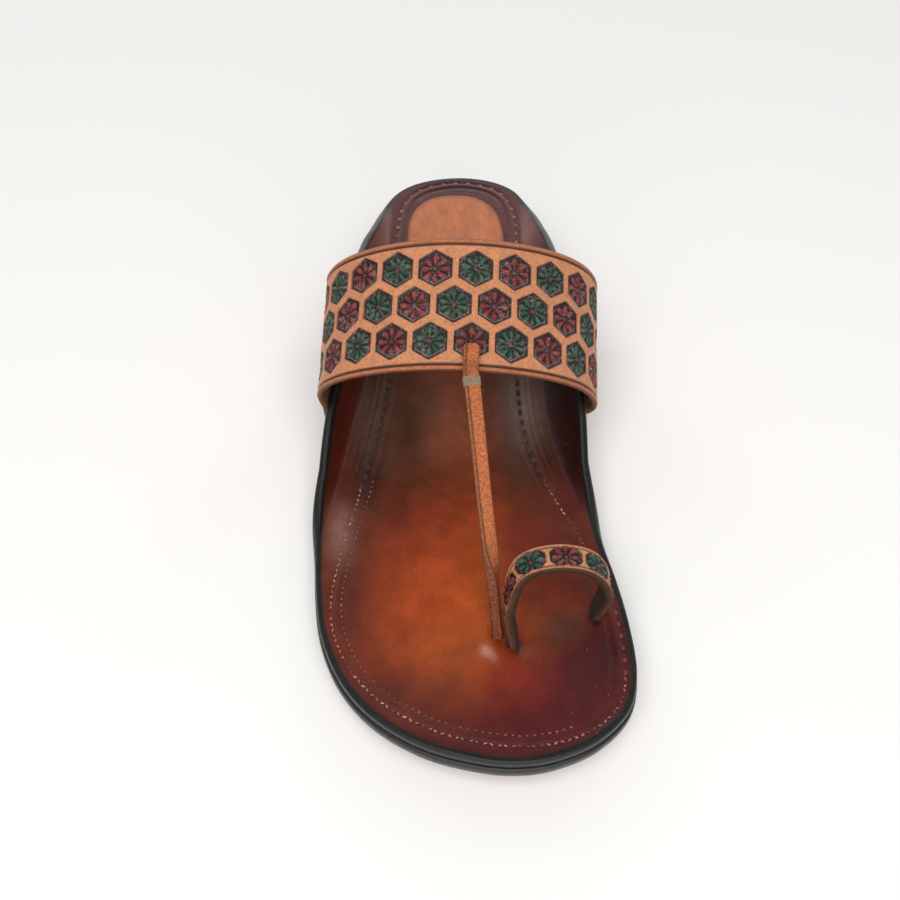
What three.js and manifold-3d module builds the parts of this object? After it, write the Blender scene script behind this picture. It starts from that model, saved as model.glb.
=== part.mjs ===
// A right-foot leather sandal: a thick moulded footbed whose sides turn up as wings at the waist,
// a leather outsole, a low stacked heel, a broad instep band with a toe thong, and a loop for the big toe.
// Millimetres. The toe points to -Y, the inner side of the foot is at +X, and the sole stands on Z = 0.
import * as THREE from "three";
import { mergeVertices } from "three/addons/utils/BufferGeometryUtils.js";
import Module from "manifold-3d";

const wasm = await Module();
wasm.setup();

// Sole
const LENGTH = 285;
const BALL_WIDTH = 107;
const FOOTBED = 4.6;
const OUTSOLE = 5.1;
const CLEAR = 0.3;
const LIP = 0.8;
const EDGE_ROUND = 1.2;
const TOE_SPRING = 9;
const HEEL_HEIGHT = 13.5;
const HEEL_BREAST = 72;
const HEEL_TAPER = 1.2;
const SPRING_START = 0.3;
const ARCH_START = 0.38;
const ARCH_END = 0.72;

// Wings of the footbed
const WING_HEIGHT = 16;
const WING_REACH = 13;
const WING_WALL = 3.4;
const WING_CURVE = 1.6;
const WING_TUCK = 0.9;
const WING_LEAN = 0.9;
const WING_LIP = 0.2;
const WING_ROUND = 0.6;
const WING_FULL_AT = 0.5;
const TUCK_FULL_AT = 0.3;

// Heel patch
const PATCH_LENGTH = 66;
const PATCH_WIDTH = 0.411 * BALL_WIDTH;
const PATCH_THICK = 1.2;
const PATCH_BACK = 15;
const PATCH_CENTRE = -1.5;
const PATCH_SQUARENESS = 2.5;
const PATCH_BEVEL = 0.97;

// Instep band
const BAND_WIDTH = 48.6;
const BAND_THICK = 2.2;
const BAND_HALF = 0.487 * BALL_WIDTH;
const BAND_RISE = 40;
const BAND_APEX = 60.6;
const BAND_FRONT = 0.5737;
const BAND_CENTRE = -0.104 * BALL_WIDTH;
const BAND_SLOPE = 26;
const BAND_SHEAR = 0.18;
const BAND_ROUND = 1.92;
const BAND_FORWARD = 2.4;
const BAND_TURN = 4;
const BAND_SKEW = 1.4;
const BAND_BACK_IN = 0.5;
const BAND_BACK_LOW = 0.8;
const BAND_BACK_SHIFT = 0.033 * BALL_WIDTH;
const SEAM_DEPTH = 0.5;
const SEAM_GAP = 1;
const SEAM_FRONT = 0.52;
const SEAM_BACK = 0.36;
const LEG_DROP = 0.6;
const LEG_TUCK = 0.45;

// Thong
const THONG_WIDTH = 5.5;
const THONG_THICK = 3.6;
const THONG_SEAT = 0.434;
const THONG_ACROSS = 0.051 * BALL_WIDTH;
const THONG_PLACE = 0.836;
const TAB_LENGTH = 9;
const SINK = 0.4;
const WRAP_LENGTH = 3.2;
const WRAP_WALL = 0.4;
const WRAP_GAP = 1.8;

// Big-toe loop
const LOOP_WIDTH = 9.4;
const LOOP_THICK = 3;
const LOOP_ACROSS = 0.1 * BALL_WIDTH;
const LOOP_PLACE = 0.849;
const LOOP_SPAN = 0.267 * BALL_WIDTH;
const LOOP_SKEW = 10.5;
const LOOP_RISE = 22;
const LOOP_LEAN = 13.5;

// Outline of the sole from heel to toe. along is a share of LENGTH, outer and inner are shares of BALL_WIDTH
// to each side of the middle, rise is a share of WING_HEIGHT, foldOuter and foldInner of WING_REACH.
const OUTLINE = [
  { along: 0, outer: -0.005, inner: 0.005, rise: 0, foldOuter: 0.32, foldInner: 0.32 },
  { along: 0.01, outer: 0.15, inner: 0.15, rise: 0, foldOuter: 0.32, foldInner: 0.32 },
  { along: 0.037, outer: 0.26, inner: 0.258, rise: 0, foldOuter: 0.32, foldInner: 0.32 },
  { along: 0.079, outer: 0.322, inner: 0.313, rise: 0.08, foldOuter: 0.42, foldInner: 0.42 },
  { along: 0.135, outer: 0.36, inner: 0.35, rise: 0.34, foldOuter: 0.5, foldInner: 0.58 },
  { along: 0.202, outer: 0.405, inner: 0.378, rise: 0.64, foldOuter: 0.6, foldInner: 0.76 },
  { along: 0.279, outer: 0.434, inner: 0.396, rise: 0.88, foldOuter: 0.66, foldInner: 0.92 },
  { along: 0.363, outer: 0.45, inner: 0.409, rise: 1, foldOuter: 0.66, foldInner: 1 },
  { along: 0.447, outer: 0.481, inner: 0.422, rise: 0.98, foldOuter: 0.62, foldInner: 0.98 },
  { along: 0.532, outer: 0.521, inner: 0.426, rise: 0.82, foldOuter: 0.48, foldInner: 0.88 },
  { along: 0.616, outer: 0.545, inner: 0.42, rise: 0.42, foldOuter: 0.385, foldInner: 0.49 },
  { along: 0.693, outer: 0.548, inner: 0.43, rise: 0.1, foldOuter: 0.3, foldInner: 0.33 },
  { along: 0.767, outer: 0.537, inner: 0.464, rise: 0, foldOuter: 0.32, foldInner: 0.32 },
  { along: 0.833, outer: 0.508, inner: 0.479, rise: 0, foldOuter: 0.32, foldInner: 0.32 },
  { along: 0.893, outer: 0.44, inner: 0.472, rise: 0, foldOuter: 0.32, foldInner: 0.32 },
  { along: 0.94, outer: 0.336, inner: 0.426, rise: 0, foldOuter: 0.32, foldInner: 0.32 },
  { along: 0.9755, outer: 0.192, inner: 0.32, rise: 0, foldOuter: 0.32, foldInner: 0.32 },
  { along: 0.9945, outer: 0.037, inner: 0.196, rise: 0, foldOuter: 0.32, foldInner: 0.32 },
  { along: 1, outer: -0.085, inner: 0.085, rise: 0, foldOuter: 0.32, foldInner: 0.32 },
];

// Course of the big-toe loop. across is a share of LOOP_SPAN from the outer leg to the inner leg, up of
// LOOP_RISE above the footbed, back of the way to the top's place, wide of LOOP_WIDTH.
const LOOP = [
  { across: 0, up: -0.17, back: 0, wide: 0.55 },
  { across: 0, up: 0, back: 0, wide: 0.55 },
  { across: -0.045, up: 0.4, back: 0.5, wide: 0.95 },
  { across: 0.11, up: 0.82, back: 0.92, wide: 1 },
  { across: 0.5, up: 1, back: 1, wide: 1 },
  { across: 0.93, up: 0.82, back: 0.92, wide: 1 },
  { across: 1.115, up: 0.4, back: 0.5, wide: 0.95 },
  { across: 1, up: 0, back: 0, wide: 0.55 },
  { across: 1, up: -0.17, back: 0, wide: 0.55 },
];

// Course of the thong from the band's front edge to the footbed. along and up are shares of the way between
// those two places, sway is a share of THONG_WIDTH to the inner side, turn is in degrees from flat.
const THONG = [
  { along: 0.1, up: 0.915, sway: 0, turn: 0, wide: 1 },
  { along: 0.3, up: 0.73, sway: 0, turn: 4, wide: 0.96 },
  { along: 0.5, up: 0.53, sway: 0, turn: 6, wide: 0.94 },
  { along: 0.68, up: 0.35, sway: 0.02, turn: 18, wide: 0.94 },
  { along: 0.79, up: 0.235, sway: 0.02, turn: 80, wide: 0.94 },
  { along: 0.9, up: 0.12, sway: 0, turn: 90, wide: 0.94 },
  { along: 0.985, up: 0.02, sway: 0, turn: 90, wide: 0.94 },
  { along: 1.01, up: -0.07, sway: 0, turn: 90, wide: 0.94 },
];

const STACK = FOOTBED + CLEAR + OUTSOLE;
const TIP = OUTLINE.length - 1;
const RIM_STEPS = 3;
const HEEL_FAN_ROW = 4;
const TOE_FAN_ROW = 13;
const MERGE_WITHIN = 1e-3;
const FOOT_STEP = 0.02;
const PATCH_STEPS = 48;
const LEG_STEPS = 7;
const ARCH_STEPS = 34;
const WIDE_STEPS = 6;
const THONG_STEPS = 44;
const THONG_IN_SLOT = 7;
const LOOP_STEPS = 48;
const LOOP_IN_SLOT = 9;
const FINE_STEPS = 400;
const X = new THREE.Vector3(1, 0, 0);
const Y = new THREE.Vector3(0, 1, 0);

const mix = THREE.MathUtils.lerp;
const clamp = THREE.MathUtils.clamp;
const ease = (t) => THREE.MathUtils.smoothstep(t, 0, 1);
const placeY = (along) => LENGTH * (0.5 - along);

// A smooth value between the rows of a table: the curve passes through each row.
function through(before, start, end, after, t) {
  const bend = 2 * before - 5 * start + 4 * end - after;
  const cubic = 3 * (start - end) + after - before;
  return start + 0.5 * t * (end - before + t * (bend + t * cubic));
}

// Value of a column at a place between rows; past the two tips the curve goes on along the other side.
function column(name, at, mirrored) {
  const row = clamp(Math.floor(at), 0, TIP - 1);
  const before = row === 0 ? mirrored(OUTLINE[1]) : OUTLINE[row - 1][name];
  const after = row === TIP - 1 ? mirrored(OUTLINE[TIP - 1]) : OUTLINE[row + 2][name];
  return through(before, OUTLINE[row][name], OUTLINE[row + 1][name], after, at - row);
}

// A point of the outline on one side (-1 outer, 1 inner), at a place between the table's rows.
function rim(side, at) {
  const name = side < 0 ? "outer" : "inner";
  const other = side < 0 ? "inner" : "outer";
  const along = column("along", at, (row) => row.along);
  const across = column(name, at, (row) => -row[other]);
  return new THREE.Vector3(side * across * BALL_WIDTH, placeY(along), 0);
}

// Unit vector in plan that points away from the sole.
function outward(side, at) {
  const step = 0.01;
  const low = Math.max(at - step, 0);
  const high = Math.min(at + step, TIP);
  const run = rim(side, high).sub(rim(side, low)).normalize();
  return new THREE.Vector3(-side * run.y, side * run.x, 0);
}

function rise(at) {
  return Math.max(column("rise", at, (row) => row.rise), 0);
}

function foldReach(side, at) {
  const name = side < 0 ? "foldOuter" : "foldInner";
  return WING_REACH * column(name, at, (row) => row[name]);
}

// Height of the footbed's upper face: flat at the ball, up to the toe and up through the waist to the heel.
function bedHeight(y) {
  const fromToe = (y + LENGTH / 2) / LENGTH;
  const spring = clamp((SPRING_START - fromToe) / SPRING_START, 0, 1);
  const arch = ease(clamp((fromToe - ARCH_START) / (ARCH_END - ARCH_START), 0, 1));
  return STACK + TOE_SPRING * spring ** 2 + HEEL_HEIGHT * arch;
}

// Share of a full wing's wall and lean that the footbed has at a place.
function winged(at) {
  return Math.min(rise(at) / WING_FULL_AT, 1);
}

// How far the wing's outer face leans out past its upper edge.
function lean(at) {
  return winged(at) * WING_WALL * WING_LEAN;
}

// A point of the footbed's shell: inward is the distance in from the rim, deep the distance under its face.
function shellPoint(side, at, inward, deep) {
  const out = outward(side, at);
  const reach = foldReach(side, at);
  const height = rise(at) * WING_HEIGHT;
  const inset = lean(at) + inward;
  const left = clamp((reach - inward) / reach, 0, 1);
  const slope = height * WING_CURVE * left ** (WING_CURVE - 1) / reach;
  const norm = Math.hypot(slope, 1);
  const point = rim(side, at).addScaledVector(out, -inset);
  point.z = bedHeight(point.y) + height * left ** WING_CURVE;
  point.addScaledVector(out, deep * slope / norm);
  point.z -= deep / norm;
  return point;
}

function shellThickness(side, at, inward) {
  const left = clamp((foldReach(side, at) - inward) / foldReach(side, at), 0, 1);
  return mix(FOOTBED, WING_WALL, ease(left) * winged(at));
}

// The line along the middle of the sole where the two sides meet. Its ends stay between two rows of the
// table, and the rounds of heel and toe fan out from there.
function spine(at) {
  const place = clamp(at, HEEL_FAN_ROW, TOE_FAN_ROW);
  return rim(-1, place).lerp(rim(1, place), 0.5);
}

function solidOf(vertProperties, triVerts) {
  return new wasm.Manifold(new wasm.Mesh({ numProp: 3, vertProperties, triVerts }));
}

function geometryOf(solid) {
  const mesh = solid.getMesh();
  const geometry = new THREE.BufferGeometry();
  geometry.setAttribute("position", new THREE.BufferAttribute(mesh.vertProperties, 3));
  geometry.setIndex(new THREE.BufferAttribute(mesh.triVerts, 1));
  return geometry;
}

// Closed solid from triangles of loose corners: equal corners become one, and flat slivers go.
function closed(corners) {
  const loose = new THREE.BufferGeometry();
  const numbers = corners.flatMap((point) => point.toArray());
  loose.setAttribute("position", new THREE.Float32BufferAttribute(numbers, 3));
  const merged = mergeVertices(loose, MERGE_WITHIN);
  const index = Array.from(merged.index.array);
  const kept = [];
  for (let i = 0; i < index.length; i += 3) {
    const [a, b, c] = index.slice(i, i + 3);
    if (a !== b && b !== c && c !== a) kept.push(a, b, c);
  }
  return solidOf(new Float32Array(merged.attributes.position.array), new Uint32Array(kept));
}

function quad(corners, a, b, c, d) {
  corners.push(a, b, c, a, c, d);
}

// Solid skin over a grid that is closed in its first direction and ends in lines or points in its second.
function wrapped(columns) {
  const corners = [];
  columns.forEach((here, i) => {
    const next = columns[(i + 1) % columns.length];
    for (let j = 0; j + 1 < here.length; j += 1) quad(corners, here[j], here[j + 1], next[j + 1], next[j]);
  });
  return closed(corners);
}

// Solid along a row of rings. Each ring's first half lies opposite its second half, so strips close the ends.
function tube(rings) {
  const corners = [];
  const count = rings[0].length;
  for (let i = 0; i + 1 < rings.length; i += 1) {
    for (let j = 0; j < count; j += 1) {
      const k = (j + 1) % count;
      quad(corners, rings[i][j], rings[i][k], rings[i + 1][k], rings[i + 1][j]);
    }
  }
  const first = rings[0];
  const last = rings[rings.length - 1];
  for (let j = 0; j < Math.ceil(count / 2) - 1; j += 1) {
    quad(corners, first[j], first[count - 1 - j], first[count - 2 - j], first[j + 1]);
    quad(corners, last[j], last[j + 1], last[count - 2 - j], last[count - 1 - j]);
  }
  return closed(corners);
}

// Places round the outline: down the outer side from heel to toe, then back up the inner side.
function roundTheRim() {
  const places = [];
  for (let i = 0; i < TIP * RIM_STEPS; i += 1) places.push({ side: -1, at: i / RIM_STEPS });
  for (let i = TIP * RIM_STEPS; i > 0; i -= 1) places.push({ side: 1, at: i / RIM_STEPS });
  return places;
}

// Rounded edge of a layer: inward is a share of EDGE_ROUND, deep is a share of the layer's thickness.
const EDGE = [
  { inward: 1, deep: 0 },
  { inward: 0.3, deep: 0.14 },
  { inward: 0, deep: 0.5 },
  { inward: 0.3, deep: 0.86 },
  { inward: 1, deep: 1 },
];
const TOP_STEPS = [1, 0.8, 0.6, 0.4, 0.2];
const INNER_STEPS = [0, 0.5];

function footbed() {
  const columns = roundTheRim().map(({ side, at }) => {
    const reach = foldReach(side, at);
    const middle = spine(at);
    const toSpine = (share, deep) => {
      const edge = shellPoint(side, at, reach, deep);
      const point = middle.clone().lerp(edge, share);
      point.z = bedHeight(point.y) - deep;
      return point;
    };
    const face = (inward) => shellPoint(side, at, inward, 0);
    const back = (inward) => shellPoint(side, at, inward, shellThickness(side, at, inward));
    const lip = mix(LIP, WING_LIP, winged(at));
    const round = mix(EDGE_ROUND, WING_ROUND, winged(at));
    const steps = TOP_STEPS.map((share) => mix(lip + round, reach, share));
    const edge = EDGE.map((row) => {
      const inward = lip + row.inward * round;
      return shellPoint(side, at, inward, row.deep * shellThickness(side, at, inward));
    });
    return [
      ...INNER_STEPS.map((share) => toSpine(share, 0)),
      ...steps.map(face),
      ...edge,
      ...[...steps].reverse().map(back),
      ...[...INNER_STEPS].reverse().map((share) => toSpine(share, FOOTBED)),
    ];
  });
  return wrapped(columns);
}

// How far in from the rim the outsole's edge lies: it shows all round, but tucks in under the wings.
function outsoleInset(side, at) {
  const tucked = ease(clamp(rise(at) / TUCK_FULL_AT, 0, 1));
  return tucked * (lean(at) + WING_TUCK * foldReach(side, at));
}

function outsolePoint(side, at, inward) {
  return rim(side, at).addScaledVector(outward(side, at), -outsoleInset(side, at) - inward);
}

function outsole() {
  const topGap = FOOTBED + CLEAR;
  const columns = roundTheRim().map(({ side, at }) => {
    const middle = spine(at);
    const inside = outsolePoint(side, at, EDGE_ROUND);
    const placed = ({ x, y }, deep) => new THREE.Vector3(x, y, bedHeight(y) - topGap - deep);
    const toSpine = (share, deep) => placed(middle.clone().lerp(inside, share), deep);
    const edge = EDGE.map((row) => {
      return placed(outsolePoint(side, at, row.inward * EDGE_ROUND), row.deep * OUTSOLE);
    });
    const top = INNER_STEPS.map((share) => toSpine(share, 0));
    const under = [...INNER_STEPS].reverse().map((share) => toSpine(share, OUTSOLE));
    return [...top, ...edge, ...under];
  });
  return wrapped(columns);
}

// Stacked heel: the outsole's outline behind the breast, a little smaller at the floor.
function heel() {
  const breast = LENGTH / 2 - HEEL_BREAST;
  let last = 0;
  while (rim(-1, last + 1 / RIM_STEPS).y > breast) last += 1 / RIM_STEPS;
  const half = (side, inward, up) => {
    const points = [];
    for (let at = 0; at < last + 1e-6; at += 1 / RIM_STEPS) {
      const point = outsolePoint(side, at, inward);
      point.y = Math.max(point.y, breast);
      point.z = up * (bedHeight(point.y) - STACK - CLEAR);
      points.push(point);
    }
    const end = points[points.length - 1].clone();
    end.y = breast;
    end.z = up * (bedHeight(breast) - STACK - CLEAR);
    points.push(end);
    return points;
  };
  const ring = (inward, up) => [...half(1, inward, up).reverse(), ...half(-1, inward, up).slice(1)];
  const levels = [
    { inward: HEEL_TAPER + EDGE_ROUND, up: 0 },
    { inward: HEEL_TAPER, up: 0.1 },
    { inward: LIP / 2, up: 1 },
  ];
  return tube(levels.map((level) => ring(level.inward, level.up)));
}

function heelPatch() {
  const centreY = LENGTH / 2 - PATCH_BACK - PATCH_LENGTH / 2;
  const round = (angle, scale) => {
    const bend = (value) => Math.sign(value) * Math.abs(value) ** (2 / PATCH_SQUARENESS);
    const x = PATCH_CENTRE + scale * PATCH_WIDTH / 2 * bend(Math.cos(angle));
    const y = centreY + scale * PATCH_LENGTH / 2 * bend(Math.sin(angle));
    return new THREE.Vector3(x, y, 0);
  };
  const placed = (point, up) => new THREE.Vector3(point.x, point.y, bedHeight(point.y) + CLEAR + up);
  const columns = [];
  for (let i = 0; i < PATCH_STEPS; i += 1) {
    const angle = 2 * Math.PI * i / PATCH_STEPS;
    const top = [0, 0.5, PATCH_BEVEL].map((scale) => placed(round(angle, scale), PATCH_THICK));
    const low = [1, 0.5, 0].map((scale) => placed(round(angle, scale), 0));
    columns.push([...top, ...low]);
  }
  return wrapped(columns);
}

const slopeAngle = THREE.MathUtils.degToRad(BAND_SLOPE);
const bandAlong = new THREE.Vector3(0, Math.cos(slopeAngle), Math.sin(slopeAngle));
const bandUp = new THREE.Vector3(0, -Math.sin(slopeAngle), Math.cos(slopeAngle));

// A point on the middle of the band's leather. angle runs over the arch from 0 at the inner side to PI,
// back is the share of the way from its front edge to its back edge.
function archPoint(angle, back) {
  const half = BAND_HALF - BAND_BACK_IN * back;
  const tall = BAND_RISE - BAND_BACK_LOW * back;
  const bend = (value) => Math.sign(value) * Math.abs(value) ** (2 / BAND_ROUND);
  const drop = tall * (bend(Math.sin(angle)) - 1);
  const aside = bend(Math.cos(angle));
  const across = BAND_CENTRE + BAND_BACK_SHIFT * back + half * aside - BAND_SHEAR * drop;
  const forward = BAND_FORWARD * (-drop / tall) ** BAND_TURN;
  const along = BAND_WIDTH * back - BAND_SKEW * aside * (1 - back);
  return new THREE.Vector3(across, placeY(BAND_FRONT) - forward, BAND_APEX)
    .addScaledVector(bandAlong, along)
    .addScaledVector(bandUp, drop);
}

// Where a row of the outline table reaches a share of LENGTH.
function rowAt(along) {
  let low = 0;
  let high = TIP;
  while (high - low > MERGE_WITHIN) {
    const middle = (low + high) / 2;
    if (column("along", middle, (row) => row.along) < along) low = middle;
    else high = middle;
  }
  return low;
}

// The band's end lies on the outside of the wing, one clearance off it.
function seamPoint(side, back, share) {
  const at = rowAt(mix(SEAM_FRONT, SEAM_BACK, back));
  const inward = share * foldReach(side, at);
  const deep = shellThickness(side, at, inward) + SEAM_GAP + BAND_THICK / 2;
  return shellPoint(side, at, inward, deep);
}

// A leg of the band from the arch's foot down the wing: t runs from 0 at the arch to 1 at its end.
function legPoint(side, back, t) {
  const foot = side > 0 ? 0 : Math.PI;
  const start = archPoint(foot, back);
  const startRun = start.clone().sub(archPoint(foot + side * FOOT_STEP, back)).normalize();
  const end = seamPoint(side, back, SEAM_DEPTH);
  const endRun = end.clone().sub(seamPoint(side, back, SEAM_DEPTH * 0.5)).normalize();
  const reach = start.distanceTo(end);
  const a = start.clone();
  const b = start.clone().addScaledVector(startRun, reach * LEG_DROP);
  const c = end.clone().addScaledVector(endRun, -reach * LEG_TUCK);
  return new THREE.CubicBezierCurve3(a, b, c, end).getPoint(t);
}

// The band's middle surface as rows from the inner end over the arch to the outer end.
function bandGrid() {
  const rows = [];
  const row = (at) => Array.from({ length: WIDE_STEPS + 1 }, (_, j) => at(j / WIDE_STEPS));
  const leg = (side, t) => row((back) => legPoint(side, back, t));
  for (let i = 0; i < LEG_STEPS; i += 1) rows.push(leg(1, 1 - i / LEG_STEPS));
  for (let i = 0; i <= ARCH_STEPS; i += 1) {
    rows.push(row((back) => archPoint(Math.PI * i / ARCH_STEPS, back)));
  }
  for (let i = 1; i <= LEG_STEPS; i += 1) rows.push(leg(-1, i / LEG_STEPS));
  return rows;
}

function band() {
  const grid = bandGrid();
  const normal = (i, j) => {
    const before = grid[Math.max(i - 1, 0)][j];
    const after = grid[Math.min(i + 1, grid.length - 1)][j];
    const front = grid[i][Math.max(j - 1, 0)];
    const back = grid[i][Math.min(j + 1, grid[i].length - 1)];
    const run = after.clone().sub(before);
    return back.clone().sub(front).cross(run).normalize();
  };
  const rings = grid.map((row, i) => {
    const outer = row.map((point, j) => point.clone().addScaledVector(normal(i, j), BAND_THICK / 2));
    const inner = row.map((point, j) => point.clone().addScaledVector(normal(i, j), -BAND_THICK / 2));
    return [...outer, ...inner.reverse()];
  });
  return tube(rings);
}

// Corners of a strap's section in half widths and half thicknesses, from one edge to the other and back.
const STRAP = [
  { wide: -1, thick: 0.5 },
  { wide: -0.8, thick: 1 },
  { wide: 0.8, thick: 1 },
  { wide: 1, thick: 0.5 },
  { wide: 1, thick: -0.5 },
  { wide: 0.8, thick: -1 },
  { wide: -0.8, thick: -1 },
  { wide: -1, thick: -0.5 },
];

// Solid strap along stations, each with its place, run, side direction, width and thickness.
function strap(stations, grow) {
  const rings = stations.map(({ point, run, side, width, thick }) => {
    const flat = side.clone().addScaledVector(run, -side.dot(run)).normalize();
    const up = flat.clone().cross(run).normalize();
    return STRAP.map((corner) => point.clone()
      .addScaledVector(flat, corner.wide * (width / 2 + grow))
      .addScaledVector(up, corner.thick * (thick / 2 + grow)));
  });
  return tube(rings);
}

// Stations along a smooth curve through points, with widths and side directions that follow them.
function stationsAlong(points, widths, sides, thick, count, from = 0, to = 1) {
  const curve = new THREE.CatmullRomCurve3(points, false, "centripetal");
  return Array.from({ length: count + 1 }, (_, i) => {
    const t = mix(from, to, i / count);
    const place = t * (points.length - 1);
    const low = Math.min(Math.floor(place), points.length - 2);
    const share = place - low;
    return {
      point: curve.getPoint(t),
      run: curve.getTangent(t).normalize(),
      side: sides[low].clone().lerp(sides[low + 1], share).normalize(),
      width: mix(widths[low], widths[low + 1], share),
      thick,
    };
  });
}

function thongStations(count, from, to) {
  const lie = BAND_THICK / 2 + THONG_THICK / 2 - SINK;
  const angle = Math.PI * THONG_SEAT;
  const onBand = (distance) => archPoint(angle, distance / BAND_WIDTH).addScaledVector(bandUp, lie);
  const top = onBand(0);
  const foot = new THREE.Vector3(THONG_ACROSS, placeY(THONG_PLACE), 0);
  foot.z = bedHeight(foot.y);
  const points = [onBand(TAB_LENGTH), onBand(TAB_LENGTH / 2), top];
  const widths = [THONG_WIDTH, THONG_WIDTH, THONG_WIDTH];
  const sides = [X.clone(), X.clone(), X.clone()];
  THONG.forEach((row) => {
    const x = mix(top.x, foot.x, row.along) + row.sway * THONG_WIDTH;
    points.push(new THREE.Vector3(x, mix(top.y, foot.y, row.along), mix(foot.z, top.z, row.up)));
    widths.push(row.wide * THONG_WIDTH);
    const turn = THREE.MathUtils.degToRad(row.turn);
    sides.push(X.clone().multiplyScalar(Math.cos(turn)).addScaledVector(Y, Math.sin(turn)));
  });
  return stationsAlong(points, widths, sides, THONG_THICK, count, from, to);
}

function loopStations(count, from, to) {
  const legY = placeY(LOOP_PLACE);
  const base = bedHeight(legY);
  const topY = legY + LOOP_SKEW / 2 + LOOP_LEAN;
  const points = LOOP.map((row) => {
    const footY = legY + LOOP_SKEW * clamp(row.across, 0, 1);
    const x = LOOP_ACROSS + LOOP_SPAN * row.across;
    return new THREE.Vector3(x, mix(footY, topY, row.back), base + LOOP_RISE * row.up);
  });
  const widths = LOOP.map((row) => row.wide * LOOP_WIDTH);
  const sides = LOOP.map(() => Y.clone());
  return stationsAlong(points, widths, sides, LOOP_THICK, count, from, to);
}

// Binding round the thong: it starts WRAP_GAP in front of the band and is WRAP_LENGTH long.
function wrapRing() {
  const fine = thongStations(FINE_STEPS, 0, 1);
  const edge = placeY(BAND_FRONT) - BAND_THICK / 2;
  const covered = (low, high) => fine.filter(({ point }) => point.y < edge - low && point.y > edge - high);
  const ends = (stations) => [stations[0], stations[Math.floor(stations.length / 2)], stations.at(-1)];
  const past = WRAP_GAP / 2;
  const outer = strap(ends(covered(WRAP_GAP, WRAP_GAP + WRAP_LENGTH)), CLEAR + WRAP_WALL);
  return outer.subtract(strap(ends(covered(WRAP_GAP - past, WRAP_GAP + WRAP_LENGTH + past)), CLEAR));
}

// Slot for the last stations of a strap, cut one clearance wider and on past the strap's end.
function slot(stations, atStart) {
  const [end, beside] = atStart ? stations : [...stations].reverse();
  const onward = end.point.clone().sub(beside.point).normalize();
  const past = { ...end, point: end.point.clone().addScaledVector(onward, FOOTBED) };
  return strap(atStart ? [past, ...stations] : [...stations, past], CLEAR);
}

const thongCourse = thongStations(THONG_STEPS, 0, 1);
const loopCourse = loopStations(LOOP_STEPS, 0, 1);
const thong = strap(thongCourse, 0);
const loop = strap(loopCourse, 0);
const slots = [
  slot(thongCourse.slice(-THONG_IN_SLOT), false),
  slot(loopCourse.slice(-LOOP_IN_SLOT), false),
  slot(loopCourse.slice(0, LOOP_IN_SLOT), true),
];
const slotted = slots.reduce((bed, hole) => bed.subtract(hole), footbed());

const PIECES = [
  { name: "outsole", colour: 0x1b1a1a, roughness: 0.45, solid: outsole() },
  { name: "heel", colour: 0x231d1a, roughness: 0.5, solid: heel() },
  { name: "footbed", colour: 0x6b2a1a, roughness: 0.35, solid: slotted },
  { name: "heel_patch", colour: 0xb8703f, roughness: 0.5, solid: heelPatch() },
  { name: "upper", colour: 0xb9744a, roughness: 0.55, solid: band().add(thong) },
  { name: "thong_wrap", colour: 0x8a6f58, roughness: 0.7, solid: wrapRing() },
  { name: "toe_loop", colour: 0xb9744a, roughness: 0.55, solid: loop },
];

const sandal = new THREE.Group();
sandal.name = "sandal";
for (const { name, colour, roughness, solid } of PIECES) {
  const material = new THREE.MeshStandardMaterial({ color: colour, roughness, metalness: 0 });
  const mesh = new THREE.Mesh(geometryOf(solid), material);
  mesh.name = name;
  sandal.add(mesh);
}
const box = new THREE.Box3().setFromObject(sandal);
sandal.position.set(-(box.min.x + box.max.x) / 2, -(box.min.y + box.max.y) / 2, -box.min.z);
sandal.updateMatrixWorld(true);

export default sandal;
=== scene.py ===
# %% [markdown]
# A kolhapuri chappal for the right foot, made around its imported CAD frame. The frame says where everything
# is. This file gives each piece the surface of the real one: burnished leather, tooled flowers, stitches.
# %% Load the frame
import math
import bpy
import bmesh
import numpy as np
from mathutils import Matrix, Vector


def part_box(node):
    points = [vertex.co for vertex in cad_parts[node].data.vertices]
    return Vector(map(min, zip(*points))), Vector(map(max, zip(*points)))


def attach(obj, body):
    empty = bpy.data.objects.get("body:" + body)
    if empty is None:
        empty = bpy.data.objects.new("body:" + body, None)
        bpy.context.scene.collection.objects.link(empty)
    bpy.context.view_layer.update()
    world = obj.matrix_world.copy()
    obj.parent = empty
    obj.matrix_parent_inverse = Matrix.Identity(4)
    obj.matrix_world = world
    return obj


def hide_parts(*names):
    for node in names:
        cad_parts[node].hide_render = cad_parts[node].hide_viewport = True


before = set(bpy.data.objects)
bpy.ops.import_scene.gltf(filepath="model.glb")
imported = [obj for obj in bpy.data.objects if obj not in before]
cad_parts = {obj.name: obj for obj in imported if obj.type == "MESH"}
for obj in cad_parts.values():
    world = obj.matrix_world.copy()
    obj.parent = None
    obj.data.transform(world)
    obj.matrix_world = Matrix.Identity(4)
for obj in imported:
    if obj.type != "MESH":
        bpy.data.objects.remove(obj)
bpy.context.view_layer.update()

print("nodes", sorted(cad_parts))

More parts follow.
